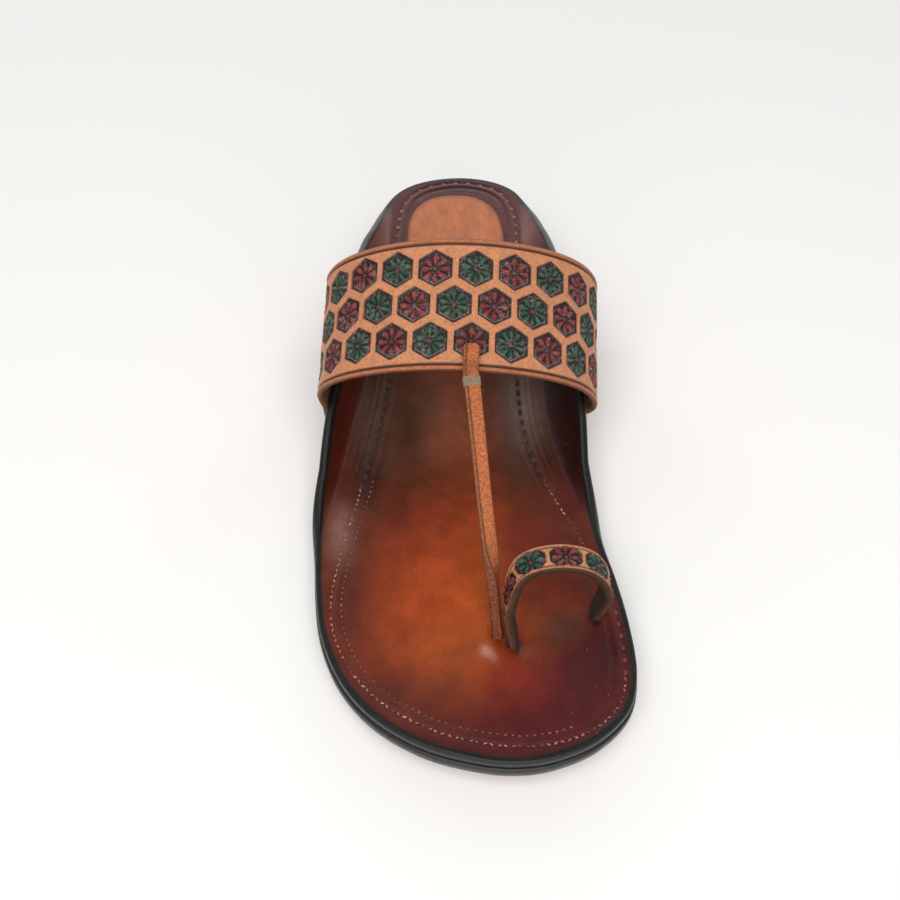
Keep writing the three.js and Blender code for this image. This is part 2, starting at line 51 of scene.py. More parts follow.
# %% [markdown]
# The sole is one outline from heel to toe. The same short table drives the CAD solids, so a mesh made from
# it lies exactly where the CAD says. Sizes are in millimetres and become metres when a mesh is made.
# %% Sizes of the sole
LENGTH = 285.0
BALL_WIDTH = 107.0
FOOTBED = 4.6
OUTSOLE = 5.1
CLEAR = 0.3
STACK = FOOTBED + CLEAR + OUTSOLE
LIP = 0.8
EDGE_ROUND = 1.2
TOE_SPRING = 9.0
HEEL_HEIGHT = 13.5
HEEL_BREAST = 72.0
HEEL_TAPER = 1.2
SPRING_START = 0.3
ARCH_START = 0.38
ARCH_END = 0.72
WING_HEIGHT = 16.0
WING_REACH = 13.0
WING_WALL = 3.4
WING_CURVE = 1.6
WING_TUCK = 0.9
WING_LEAN = 0.9
WING_LIP = 0.2
WING_ROUND = 0.6
WING_FULL_AT = 0.5
TUCK_FULL_AT = 0.3
HEEL_FAN_ROW = 4
TOE_FAN_ROW = 13

# along the sole, outer and inner half width, wing height, outer and inner fold, all as shares
OUTLINE = np.array([
    (0, -0.005, 0.005, 0, 0.32, 0.32),
    (0.01, 0.15, 0.15, 0, 0.32, 0.32),
    (0.037, 0.26, 0.258, 0, 0.32, 0.32),
    (0.079, 0.322, 0.313, 0.08, 0.42, 0.42),
    (0.135, 0.36, 0.35, 0.34, 0.5, 0.58),
    (0.202, 0.405, 0.378, 0.64, 0.6, 0.76),
    (0.279, 0.434, 0.396, 0.88, 0.66, 0.92),
    (0.363, 0.45, 0.409, 1, 0.66, 1),
    (0.447, 0.481, 0.422, 0.98, 0.62, 0.98),
    (0.532, 0.521, 0.426, 0.82, 0.48, 0.88),
    (0.616, 0.545, 0.42, 0.42, 0.385, 0.49),
    (0.693, 0.548, 0.43, 0.1, 0.3, 0.33),
    (0.767, 0.537, 0.464, 0, 0.32, 0.32),
    (0.833, 0.508, 0.479, 0, 0.32, 0.32),
    (0.893, 0.44, 0.472, 0, 0.32, 0.32),
    (0.94, 0.336, 0.426, 0, 0.32, 0.32),
    (0.9755, 0.192, 0.32, 0, 0.32, 0.32),
    (0.9945, 0.037, 0.196, 0, 0.32, 0.32),
    (1, -0.085, 0.085, 0, 0.32, 0.32),
])
ALONG, OUTER, INNER, RISE, FOLD_OUTER, FOLD_INNER = range(6)
TIP = len(OUTLINE) - 1

# the CAD group was moved sideways to centre its box; the heel patch tells by how much
PATCH_CENTRE = -1.5
patch_low, patch_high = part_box("heel_patch")
SHIFT = 1000 * (patch_low.x + patch_high.x) / 2 - PATCH_CENTRE
print(f"outline rows {TIP + 1}, sideways shift {SHIFT:.3f} mm")


# %% Functions of the outline
def ease(t):
    t = np.clip(t, 0, 1)
    return t * t * (3 - 2 * t)


def mix(a, b, t):
    return a + (b - a) * t


def unit(vectors):
    return vectors / np.linalg.norm(vectors, axis=-1, keepdims=True)


def length_so_far(points):
    return np.concatenate([[0], np.cumsum(np.linalg.norm(np.diff(points, axis=0), axis=1))])


def hump(x, wide, power=2):
    """1 where x is 0, falling softly to nothing past wide."""
    return np.exp(-np.abs(x / wide) ** power)


def squarish(value, square):
    """Bends a sine or cosine: with square 2 the two draw a circle, with more a rounded box."""
    return np.sign(value) * np.abs(value) ** (2 / square)


def column(name, at, other=None, sign=1):
    """A smooth value of the table between its rows; past a tip it goes on along the other side."""
    values = OUTLINE[:, name]
    mirror = sign * OUTLINE[:, name if other is None else other]
    line = np.concatenate([[mirror[1]], values, [mirror[TIP - 1]]])
    at = np.asarray(at, float)
    row = np.clip(np.floor(at), 0, TIP - 1).astype(int)
    t = at - row
    before, start, end, after = line[row], line[row + 1], line[row + 2], line[row + 3]
    bend = 2 * before - 5 * start + 4 * end - after
    cubic = 3 * (start - end) + after - before
    return start + 0.5 * t * (end - before + t * (bend + t * cubic))


def rim(side, at):
    """Plan of the edge for arrays of sides (-1 outer, 1 inner) and places between the table's rows."""
    outer = column(OUTER, at, INNER, -1)
    inner = column(INNER, at, OUTER, -1)
    across = np.where(side < 0, outer, inner)
    return np.stack([side * across * BALL_WIDTH, LENGTH * (0.5 - column(ALONG, at))], -1)


def outward(side, at):
    run = unit(rim(side, np.minimum(at + 0.01, TIP)) - rim(side, np.maximum(at - 0.01, 0)))
    return np.stack([-side * run[..., 1], side * run[..., 0]], -1)


def rise(at):
    return np.maximum(column(RISE, at), 0)


def fold(side, at):
    return WING_REACH * np.where(side < 0, column(FOLD_OUTER, at), column(FOLD_INNER, at))


def winged(at):
    return np.minimum(rise(at) / WING_FULL_AT, 1)


def lean(at):
    return winged(at) * WING_WALL * WING_LEAN


def bed_height(y):
    from_toe = (y + LENGTH / 2) / LENGTH
    spring = np.clip((SPRING_START - from_toe) / SPRING_START, 0, 1)
    arch_share = ease((from_toe - ARCH_START) / (ARCH_END - ARCH_START))
    return STACK + TOE_SPRING * spring ** 2 + HEEL_HEIGHT * arch_share


def shell(side, at, inward, deep):
    """Points of the footbed's shell: inward from the rim, deep under its upper face."""
    out = outward(side, at)
    reach = fold(side, at)
    height = rise(at) * WING_HEIGHT
    left = np.clip((reach - inward) / reach, 0, 1)
    slope = height * WING_CURVE * left ** (WING_CURVE - 1) / reach
    norm = np.hypot(slope, 1)
    plan = rim(side, at) - out * (lean(at) + inward)[..., None]
    z = bed_height(plan[..., 1]) + height * left ** WING_CURVE - deep / norm
    plan = plan + out * (deep * slope / norm)[..., None]
    return np.concatenate([plan, z[..., None]], -1)


def wall(side, at, inward):
    left = np.clip((fold(side, at) - inward) / fold(side, at), 0, 1)
    return mix(FOOTBED, WING_WALL, ease(left) * winged(at))


def spine(at):
    place = np.clip(at, HEEL_FAN_ROW, TOE_FAN_ROW)
    return (rim(-1 + 0 * place, place) + rim(1 + 0 * place, place)) / 2


heel_end, toe_end = rim(np.array([-1, -1]), np.array([0, TIP]))[:, 1]
print(f"sole from y {toe_end:.1f} to {heel_end:.1f} mm")

# %% [markdown]
# Every piece ends as one plain mesh at the origin, in metres. One function does that for all of them: it
# takes points and faces, joins equal points, turns the faces outwards and stores what the material reads.
# %% Mesh maker
PIECES = []


def to_metres(points):
    return (np.asarray(points, float) + [SHIFT, 0, 0]) / 1000


def linear(code):
    """sRGB hex to the linear numbers that a shader works with."""
    parts = np.array([int(code[i:i + 2], 16) for i in (1, 3, 5)]) / 255
    return np.where(parts <= 0.04045, parts / 12.92, ((parts + 0.055) / 1.055) ** 2.4)


def dyed(colour, code, share):
    """The colour of each place with a share of another dye rubbed over it."""
    return mix(colour, linear(code), np.asarray(share)[..., None])


def new_object(name, data):
    obj = bpy.data.objects.new(name, data)
    bpy.context.scene.collection.objects.link(obj)
    return obj


def finish_piece(obj, slot, nodes=()):
    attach(obj, "root")
    if nodes:
        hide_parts(*nodes)
    PIECES.append(obj)
    obj.data.calc_loop_triangles()
    print(obj.name, len(obj.data.loop_triangles), "triangles")


def make_mesh(name, points, faces, values, merge=1e-5):
    """points in mm, faces of corner numbers, values: name -> numbers per point (one or three each)."""
    mesh = bpy.data.meshes.new(name)
    mesh.from_pydata(to_metres(points).tolist(), [], faces.tolist() if hasattr(faces, "tolist") else faces)
    for key, numbers in values.items():
        numbers = np.asarray(numbers, np.float32)
        if numbers.ndim == 1:
            mesh.attributes.new(key, "FLOAT", "POINT").data.foreach_set("value", numbers)
        else:
            whole = np.concatenate([numbers, np.ones((len(numbers), 1), np.float32)], 1)
            mesh.attributes.new(key, "FLOAT_COLOR", "POINT").data.foreach_set("color", whole.ravel())
    sheet = bmesh.new()
    sheet.from_mesh(mesh)
    bmesh.ops.remove_doubles(sheet, verts=sheet.verts, dist=merge)
    bmesh.ops.dissolve_degenerate(sheet, edges=sheet.edges, dist=1e-7)
    bmesh.ops.recalc_face_normals(sheet, faces=sheet.faces)
    sheet.to_mesh(mesh)
    sheet.free()
    mesh.shade_smooth()
    return new_object(name, mesh)


def grid_faces(rows, count, closed_rows, closed_columns):
    """Quads of a grid whose point number is row * count + column."""
    r = np.arange(rows if closed_rows else rows - 1)
    c = np.arange(count if closed_columns else count - 1)
    r, c = np.meshgrid(r, c, indexing="ij")
    r, c = r.ravel(), c.ravel()
    up, on = (r + 1) % rows, (c + 1) % count
    return np.stack([r * count + c, r * count + on, up * count + on, up * count + c], 1)


def tube_faces(rows, count):
    """A grid closed round its columns, with one many-sided face over each end."""
    ends = [[first + j for j in range(count)] for first in (0, (rows - 1) * count)]
    return grid_faces(rows, count, False, True).tolist() + ends


# %% [markdown]
# Burnished footbed leather isn't one colour. The maker rubs dye on by hand: orange-brown where the ball of the foot
# rests, burgundy towards the edges, a cold grey-brown in the waist that is partly painted sheen. Most lines below
# are one rub of the rag, with its place and reach in millimetres; some add painted light and shade: sheen at the
# waist and both edges, light under the band's front edge, a highlight by the thong's foot, and shade by the wing
# walls and in the slots. So the colour lies in the mesh and stays put in any view.
# %% Dye and painted light of the footbed
THONG_FOOT = (5.46, -95.8)
LOOP_FEET = ((10.7, -99.5), (39.3, -89.0))
# x, y, reach across, reach along, colour, strength
DYE_AND_PAINTED_LIGHT = [
    (0, -30, 90, 60, "#4f251d", 1.0),
    (-6, -70, 46, 34, "#84381a", 0.9),
    (-12, -84, 26, 32, "#a04516", 0.95),
    (4, -70, 12, 26, "#aa4e18", 0.85),
    (-6, -104, 24, 14, "#98492a", 0.8),
    (6, -90, 9, 14, "#a5501f", 0.7),
    (-14, -56, 20, 10, "#8a3c12", 0.6),
    (10, -112, 12, 14, "#7c2e14", 0.9),
    (14, -128, 14, 10, "#541914", 0.8),
    (33, -112, 13, 18, "#4a1210", 0.95),
    (29, -94, 12, 9, "#4d332f", 0.9),
    (27, -80, 14, 9, "#6a2e1e", 0.8),
    (36, -52, 10, 16, "#552a26", 0.8),
    (18, -56, 10, 14, "#6a2416", 0.7),
    (-46, -74, 9, 34, "#512a27", 0.85),
    (-34, -118, 22, 10, "#522825", 0.8),
    (-4, -135, 40, 9, "#4f2320", 0.9),
    (-28, -45, 8, 14, "#64260f", 0.6),
    # the cold grey-brown of the waist: dye with painted sheen in it
    (-38, -12, 10, 34, "#443634", 0.9),
    (20, -10, 12, 32, "#463431", 0.9),
    (-20, -12, 10, 24, "#5e392c", 0.7),
    # orange dye, brightened as painted light under the band's front edge
    (-6, 8, 14, 28, "#9c5840", 0.8),
    (-18, 2, 13, 14, "#6e4c40", 0.75),
    (-6, 50, 30, 34, "#5a2c20", 0.7),
    (-28, 108, 14, 26, "#4a2522", 0.85),
    (27, 108, 14, 26, "#522521", 0.85),
    (0, 136, 34, 9, "#3f2321", 0.9),
    # painted shade: dark patches by the wing walls under the band and at the right of the forefoot
    (-24, -10, 8, 22, "#382723", 0.75),
    (41, -8, 6, 24, "#1c0c0a", 0.8),
    (32, -17, 7, 18, "#2c211f", 0.55),
    (43, -32, 5, 10, "#2e150e", 0.5),
    (-40, -30, 7, 14, "#2c1412", 0.6),
    (-48, -40, 4, 9, "#401510", 0.6),
    (41, -102, 7, 9, "#30100e", 0.6),
    # painted highlight: the glare on the swelling beside the thong's foot
    (1.2, -102.4, 1.9, 2.1, "#dcb6aa", 0.42),
    (3.2, -104.4, 1.3, 2.0, "#d4a89a", 0.25),
    # painted shade in the slot openings of the thong and the toe loop
    (THONG_FOOT[0], THONG_FOOT[1] - 1, 1.5, 2.6, "#180b08", 0.95),
    (LOOP_FEET[0][0], LOOP_FEET[0][1] - 0.5, 2.4, 3.2, "#180b08", 0.95),
    (LOOP_FEET[1][0], LOOP_FEET[1][1] - 0.5, 2.2, 3.0, "#180b08", 0.95),
    # painted sheen: on the waist under the band and on both edges of the forefoot
    (22, 5, 9, 16, "#84706a", 0.7),
    (-49, -52, 5, 13, "#86645c", 0.7),
    (47, -44, 4, 12, "#8a625a", 0.7),
    (-38, 6, 9, 14, "#5c4a42", 0.7),
]
# the codes are colours as seen, with the white sheen of the wax in them; the dye itself is that much deeper
WAX_SHEEN = np.array([0.012, 0.014, 0.017])
WING_OUTER = "#45140a"
WING_OUTER_BACK = "#5c2412"
WING_INNER = "#240705"
HEEL_WALL = "#744038"
DYED_EDGE = "#0e0f10"
EDGE_BLEED = "#241a19"
FLESH = "#6d4a30"


def dye_and_painted_light_at(points):
    """Colour of the upper face at points in mm, from the rubs of dye and the painted light and shade, in their
    order.
    """
    colour = np.tile(linear("#552620"), (len(points), 1))
    for x, y, wide, long, code, strength in DYE_AND_PAINTED_LIGHT:
        near = np.exp(-((points[:, 0] - x) / wide) ** 2 - ((points[:, 1] - y) / long) ** 2)
        colour = dyed(colour, code, strength * near)
    return np.clip(colour - WAX_SHEEN, 0.002, 1)


print(len(DYE_AND_PAINTED_LIGHT), "rubs of dye")

# %% [markdown]
# Two rows of stitches follow the rim, but not at one distance: they swing inwards at the waist. The
# distances in from the rim were read off the photograph. The thread has pulled the leather down, so each
# row runs in a shallow channel of the mesh, and the thread is laid in later by Geometry Nodes.
# %% Course of the stitch rows
# share of the length, distance in from the rim on the outer side, and on the inner side, mm
ROW = np.array([
    (0, 5.6, 5.6),
    (0.012, 6.6, 6.4),
    (0.04, 8.3, 7.9),
    (0.075, 9.1, 8.4),
    (0.12, 10.4, 10.1),
    (0.16, 12, 12.9),
    (0.22, 14.5, 16.5),
    (0.3, 17.5, 20.5),
    (0.38, 19.4, 23.6),
    (0.45, 20, 24.8),
    (0.5, 20, 25.1),
    (0.55, 19, 23.4),
    (0.6, 17.3, 18.9),
    (0.64, 15.4, 14.5),
    (0.67, 13.4, 11.1),
    (0.7, 11.3, 8.3),
    (0.73, 9.4, 6.5),
    (0.76, 7.4, 5.5),
    (0.79, 5.6, 4.9),
    (0.83, 5.1, 4.7),
    (0.88, 5.4, 4.9),
    (0.93, 6.3, 4.5),
    (0.965, 6.9, 4.4),
    (0.99, 6.9, 5.2),
    (1, 6.7, 6.3),
])
FINE_ROW_IN = 3.6


def row_inward(side, at):
    along = column(ALONG, at)
    return np.where(side < 0, np.interp(along, ROW[:, 0], ROW[:, 1]), np.interp(along, ROW[:, 0], ROW[:, 2]))


def smooth(values, width):
    """Running mean along a closed row of numbers."""
    kernel = np.ones(2 * width + 1) / (2 * width + 1)
    return np.convolve(np.concatenate([values[-width:], values, values[:width]]), kernel, "valid")


def round_the_rim(steps):
    """Sides and places round the whole outline, down the outer side and back up the inner side."""
    down = np.arange(TIP * steps) / steps
    up = np.arange(TIP * steps, 0, -1) / steps
    return np.concatenate([-np.ones(len(down)), np.ones(len(up))]), np.concatenate([down, up])


side, at = round_the_rim(20)
stitch_in = smooth(row_inward(side, at), 6)
print(f"stitch row {stitch_in.min():.1f} to {stitch_in.max():.1f} mm in from the rim")

# %% [markdown]
# The footbed is a thick moulded shell. Each column of the grid starts at the middle of the sole, climbs the
# wing, goes round the edge and back underneath. Rows are close together where stitches and edge need them.
# %% Footbed grid
ROWS_FOLD = 15
ROWS_STITCH = 28
ROWS_MIDDLE = 9
EDGE_STEPS = 14
STITCH_ZONE = 29.0


def to_spine(side, at, share, deep):
    """Between the middle line (0) and the inner end of the fold (1)."""
    edge = shell(side, at, fold(side, at), deep + 0 * at)
    plan = mix(spine(at), edge[:, :2], share[:, None])
    return np.concatenate([plan, (bed_height(plan[:, 1]) - deep)[:, None]], 1)


reach = fold(side, at)
span = np.linalg.norm(shell(side, at, reach, 0 * at)[:, :2] - spine(at), axis=1)
start = lean(at) + reach
rows = []
for i in range(ROWS_MIDDLE):
    share = i / ROWS_MIDDLE * (1 - (STITCH_ZONE - start) / span)
    rows.append(to_spine(side, at, share, 0))
for i in range(ROWS_STITCH):
    share = 1 - (STITCH_ZONE - start) / span * (1 - i / ROWS_STITCH)
    rows.append(to_spine(side, at, share, 0))
lip = mix(LIP, WING_LIP, winged(at))
rounding = mix(EDGE_ROUND, WING_ROUND, winged(at))
inner_end = lip + rounding
for i in range(ROWS_FOLD):
    rows.append(shell(side, at, mix(reach, inner_end, i / ROWS_FOLD), 0 * at))
TOP_ROWS = len(rows)
for i in range(EDGE_STEPS + 1):
    angle = math.pi * (i / EDGE_STEPS - 0.5)
    turn = math.copysign(abs(math.sin(angle)) ** 0.8, angle)
    inward = lip + rounding * (1 - abs(math.cos(angle)) ** 0.8)
    rows.append(shell(side, at, inward, (0.5 + 0.5 * turn) * wall(side, at, inward)))
EDGE_END = len(rows)
for i in range(1, 9):
    inward = mix(inner_end, reach, i / 8)
    rows.append(shell(side, at, inward, wall(side, at, inward)))
for share in (0.75, 0.4, 0):
    rows.append(to_spine(side, at, share + 0 * at, FOOTBED))
bed = np.stack(rows, 1)
edge_plan = rim(side, at)
from_rim = np.linalg.norm(bed[:, :, :2] - edge_plan[:, None], axis=2)
print("footbed grid", bed.shape[:2])


# %% Relief of the footbed
# distance in from the stitch row, width and height of each groove or ridge; the second list only in the waist
GROOVES = [(0, 0.95, -0.34), (FINE_ROW_IN, 0.7, -0.26), (FINE_ROW_IN / 2, 1.1, 0.2)]
WAIST_RIDGES = [(-1.5, 0.6, -0.2), (-2.5, 0.6, 0.3), (-3.6, 0.6, -0.22), (-4.8, 0.6, 0.25), (-6.2, 0.6, -0.12)]
# x, y, width and depth of soft dips; below 0 the leather swells
DENTS = [
    (1.5, -101.5, 6.5, -1.0),
    (12, -108, 7, -0.7),
    (*THONG_FOOT, 3.2, 0.8),
    (LOOP_FEET[0][0] + 1, LOOP_FEET[0][1], 3.5, 1.0),
    (LOOP_FEET[1][0] - 3, LOOP_FEET[1][1] - 1, 4, 0.7),
    (-14, -82, 30, 0.8),
    (27, -97, 13, 0.7),
]
WAVE_HEIGHT = 0.06


def footbed_relief(face, distance):
    from_row = distance - stitch_in[:, None]
    along = column(ALONG, at)
    waist = (ease((along - 0.34) / 0.05) * ease((0.64 - along) / 0.06))[:, None]
    relief = sum(high * hump(from_row - inward, wide) for inward, wide, high in GROOVES)
    relief += waist * sum(high * hump(from_row - inward, wide) for inward, wide, high in WAIST_RIDGES)
    x, y = face[..., 0], face[..., 1]
    for dent_x, dent_y, wide, deep in DENTS:
        relief -= deep * hump(x - dent_x, wide) * hump(y - dent_y, wide)
    wave = np.sin(x / 7.3 + 1.3 * np.sin(y / 11)) * np.sin(y / 9.1 + 0.8)
    return relief + WAVE_HEIGHT * wave


face = bed[:, :TOP_ROWS]
relief = footbed_relief(face, from_rim[:, :TOP_ROWS])
face[..., 2] += relief
bed[:, :TOP_ROWS] = face
print(f"relief {relief.min():.2f} to {relief.max():.2f} mm")


# %% Colour of the footbed
def footbed_tone():
    columns, count = bed.shape[:2]
    flat = bed.reshape(-1, 3)
    tone = dye_and_painted_light_at(flat)
    y = flat[:, 1]
    row = np.tile(np.arange(count), columns)
    inward = np.repeat(fold(side, at), count)
    wing = np.repeat(winged(at), count)
    outer_side = np.repeat(side < 0, count)
    d = from_rim.reshape(-1)
    climb = ease((np.repeat(lean(at), count) + inward * 0.97 - d) / 1.5) * wing * ease((y + 64) / 22)
    outer_dye = dyed(linear(WING_OUTER), WING_OUTER_BACK, ease((y + 10) / 40))
    dark = np.where(outer_side[:, None], outer_dye, linear(WING_INNER))
    dark = dyed(dark, HEEL_WALL, ease((y - 62) / 40))
    tone = mix(tone, dark, (climb * 0.94)[:, None])
    bleed_at = mix(4.3, 1.6, wing) + np.repeat(lean(at), count)
    top = row < TOP_ROWS
    bleed = np.where(top, ease((bleed_at - d) / 2.0), 1)
    tone = dyed(tone, EDGE_BLEED, 0.75 * bleed)
    edge_at = mix(2.9, WING_LIP + WING_ROUND, wing) + np.repeat(lean(at), count)
    ink = np.where(top, ease((edge_at - d) / 0.5 + 0.5), 1.0)
    step = (row - TOP_ROWS) / EDGE_STEPS
    under = ease((step - mix(2.0, 0.62, wing)) / 0.12)
    under = np.where(top, 0, np.where(row >= EDGE_END + 1, 1.0, under))
    ink = ink * (1 - under)
    tone = dyed(tone, FLESH, under)
    tone = dyed(tone, DYED_EDGE, ink)
    return tone, ink


tone, ink = footbed_tone()
footbed = make_mesh("footbed_leather", bed.reshape(-1, 3), grid_faces(*bed.shape[:2], True, False),
                    {"tone": tone, "ink": ink})

# %% [markdown]
# The outsole is a plain layer of hard leather whose edge is dyed black and polished with a bone. Its grid is
# the footbed's in small: in from the middle, round the edge, back below. It tucks in under the wings.
# %% Outsole and heel
OUTSOLE_ROUND = 1.4
SOLE_TOP = "#3a2a1e"
SOLE_EDGE = "#101112"
SOLE_UNDER_RIM = "#6e4a32"
SOLE_UNDER = "#7a5233"
HEEL_SIDE = "#17120f"
HEEL_UNDER = "#4a3524"


def outsole_inset(side, at):
    return ease(rise(at) / TUCK_FULL_AT) * (lean(at) + WING_TUCK * fold(side, at))


def outsole_plan(side, at, inward):
    return rim(side, at) - outward(side, at) * (outsole_inset(side, at) + inward)[:, None]


def layer_point(plan, deep):
    return np.concatenate([plan, (bed_height(plan[:, 1]) - FOOTBED - CLEAR - deep)[:, None]], 1)


def outsole_rows():
    rows, tones = [], []
    inside = outsole_plan(side, at, OUTSOLE_ROUND + 0 * at)
    for share in (0, 0.35, 0.7, 0.9):
        rows.append(layer_point(mix(spine(at), inside, share), 0))
        tones.append(linear(SOLE_TOP))
    for i in range(13):
        angle = math.pi * (i / 12 - 0.5)
        turn = math.copysign(abs(math.sin(angle)) ** 0.7, angle)
        inward = OUTSOLE_ROUND * (1 - abs(math.cos(angle)) ** 0.7) + 0 * at
        rows.append(layer_point(outsole_plan(side, at, inward), (0.5 + 0.5 * turn) * OUTSOLE))
        tones.append(linear(SOLE_EDGE if i < 10 else SOLE_UNDER_RIM))
    for share in (0.97, 0.9, 0.7, 0.35, 0):
        rows.append(layer_point(mix(spine(at), inside, share), OUTSOLE))
        tones.append(linear(SOLE_UNDER))
    return np.stack(rows, 1), np.tile(np.array(tones), (len(at), 1))


grid, tones = outsole_rows()
outsole = make_mesh("outsole_leather", grid.reshape(-1, 3), grid_faces(*grid.shape[:2], True, False),
                    {"tone": tones})


def heel_ring(inward, up):
    """One level of the stacked heel: the outsole's outline behind the breast, cut straight across."""
    breast = LENGTH / 2 - HEEL_BREAST
    places = np.linspace(0, 6.2, 90)
    halves = []
    for sign in (1, -1):
        plan = outsole_plan(sign + 0 * places, places, inward + 0 * places)
        plan = plan[plan[:, 1] > breast + 0.2]
        last = np.array([[plan[-1, 0], breast]])
        halves.append(np.concatenate([plan, last]))
    inner, outer = halves
    across = np.linspace(inner[-1, 0], outer[-1, 0], 12)[1:-1]
    front = np.stack([across, breast + 0 * across], 1)
    ring = np.concatenate([outer, front[::-1], inner[::-1][:-1]])
    height = bed_height(ring[:, 1]) - STACK - CLEAR
    return np.concatenate([ring, (up * height)[:, None]], 1)


def heel_mesh():
    levels = [(HEEL_TAPER + 1.4, 0), (HEEL_TAPER + 0.5, 0.012), (HEEL_TAPER + 0.1, 0.05), (HEEL_TAPER, 0.1)]
    for lift in (0.34, 0.62):
        middle = mix(HEEL_TAPER, LIP / 2, lift)
        levels += [(middle, lift - 0.02), (middle + 0.25, lift), (middle, lift + 0.02)]
    levels += [(LIP / 2, 0.97), (LIP / 2 + 0.6, 1)]
    rings = [heel_ring(inward, up) for inward, up in levels]
    count = min(len(ring) for ring in rings)
    rings = [ring[:count] for ring in rings]
    points = np.concatenate(rings)
    tone = np.tile(linear(HEEL_SIDE), (len(points), 1))
    tone[:count] = linear(HEEL_UNDER)
    return make_mesh("heel_stack", points, tube_faces(len(rings), count), {"tone": tone})


heel = heel_mesh()

# %% [markdown]
# A thin tan oval is glued under the wearer's heel. Its edge is skived, so it slopes down to the footbed.
# %% Heel patch
PATCH_LENGTH = 64.4
PATCH_WIDTH = 0.411 * BALL_WIDTH
PATCH_BACK = 16.6
PATCH_THICK = 1.2
PATCH_SQUARENESS = 2.5
PATCH_TAN = "#b4683e"
PATCH_RIM = "#5e2c1c"


def heel_patch_mesh():
    angles = np.linspace(0, 2 * math.pi, 120, endpoint=False)
    plan = np.stack([squarish(np.cos(angles), PATCH_SQUARENESS) * PATCH_WIDTH / 2,
                     squarish(np.sin(angles), PATCH_SQUARENESS) * PATCH_LENGTH / 2], 1)
    centre = np.array([PATCH_CENTRE, LENGTH / 2 - PATCH_BACK - PATCH_LENGTH / 2])
    steps = [(s, PATCH_THICK) for s in np.linspace(0, 0.94, 18)]
    steps += [(0.965, 1.12), (0.985, 0.92), (0.997, 0.6), (1, 0.3), (0.995, 0.06), (0.98, 0)]
    steps += [(s, 0) for s in (0.7, 0.35, 0)]
    rows = []
    for scale, up in steps:
        place = centre + scale * plan
        rows.append(np.concatenate([place, (bed_height(place[:, 1]) + CLEAR + up)[:, None]], 1))
    grid = np.stack(rows, 1)
    flat = grid.reshape(-1, 3)
    tone = np.tile(linear(PATCH_TAN), (len(flat), 1))
    rim_share = np.tile([s for s, _ in steps], len(angles))
    tone = dyed(tone, PATCH_RIM, 0.85 * ease((rim_share - 0.9) / 0.1))
    return make_mesh("heel_patch_leather", flat, grid_faces(*grid.shape[:2], True, False), {"tone": tone})


patch = heel_patch_mesh()

# %% [markdown]
# The instep band is one strip of tan leather, cased with water and stamped with a hexagon tool before it was
# dyed. It is made as one fine grid that goes over the arch and down both legs. Each point knows how far
# along the strip it lies (u) and how far from the front edge (v), and the stamping is a rule in u and v.
# %% Course of the band
BAND_WIDTH = 48.6
BAND_THICK = 2.2
BAND_HALF = 0.487 * BALL_WIDTH
BAND_RISE = 40.0
BAND_APEX = 60.6
BAND_FRONT = 0.5737
BAND_CENTRE = -0.104 * BALL_WIDTH
BAND_SLOPE = math.radians(26)
BAND_SHEAR = 0.18
BAND_ROUND = 1.92
BAND_FORWARD = 2.4
BAND_TURN = 4
BAND_SKEW = 1.4
BAND_BACK_IN = 0.5
BAND_BACK_LOW = 0.8
BAND_BACK_SHIFT = 0.033 * BALL_WIDTH
SEAM_DEPTH = 0.5
SEAM_GAP = 1.0
SEAM_FRONT = 0.52
SEAM_BACK = 0.36
LEG_DROP = 0.6
LEG_TUCK = 0.45
band_run = np.array([0, math.cos(BAND_SLOPE), math.sin(BAND_SLOPE)])
band_up = np.array([0, -math.sin(BAND_SLOPE), math.cos(BAND_SLOPE)])


def arch(angle, back):
    """Middle of the band's leather; angle from 0 at the inner side to pi, back from 0 to 1 across it."""
    angle, back = np.broadcast_arrays(np.asarray(angle, float), np.asarray(back, float))
    half = BAND_HALF - BAND_BACK_IN * back
    tall = BAND_RISE - BAND_BACK_LOW * back
    drop = tall * (squarish(np.sin(angle), BAND_ROUND) - 1)
    aside = squarish(np.cos(angle), BAND_ROUND)
    across = BAND_CENTRE + BAND_BACK_SHIFT * back + half * aside - BAND_SHEAR * drop
    front = LENGTH * (0.5 - BAND_FRONT) - BAND_FORWARD * np.abs(drop / tall) ** BAND_TURN
    origin = np.stack([across, front, BAND_APEX + 0 * across], -1)
    run = BAND_WIDTH * back - BAND_SKEW * aside * (1 - back)
    return origin + run[..., None] * band_run + drop[..., None] * band_up


def row_at(along):
    low, high = 0.0, float(TIP)
    while high - low > 1e-3:
        middle = (low + high) / 2
        low, high = (middle, high) if column(ALONG, middle) < along else (low, middle)
    return low


def seam(sign, back, share):
    at = np.array([row_at(mix(SEAM_FRONT, SEAM_BACK, b)) for b in back])
    side = sign + 0 * at
    inward = share * fold(side, at)
    return shell(side, at, inward, wall(side, at, inward) + SEAM_GAP + BAND_THICK / 2)


def leg(sign, back, t):
    """A leg of the band, from the arch's foot (t = 0) to its end on the outside of the wing (t = 1)."""
    foot = 0.0 if sign > 0 else math.pi
    start = arch(foot, back)
    run = unit(start - arch(foot + sign * 0.02, back))
    end = seam(sign, back, SEAM_DEPTH)
    end_run = unit(end - seam(sign, back, SEAM_DEPTH / 2))
    reach = np.linalg.norm(end - start, axis=-1, keepdims=True)
    b = start + run * reach * LEG_DROP
    c = end - end_run * reach * LEG_TUCK
    t = np.asarray(t)[:, None, None]
    return (1 - t) ** 3 * start + 3 * (1 - t) ** 2 * t * b + 3 * (1 - t) * t ** 2 * c + t ** 3 * end


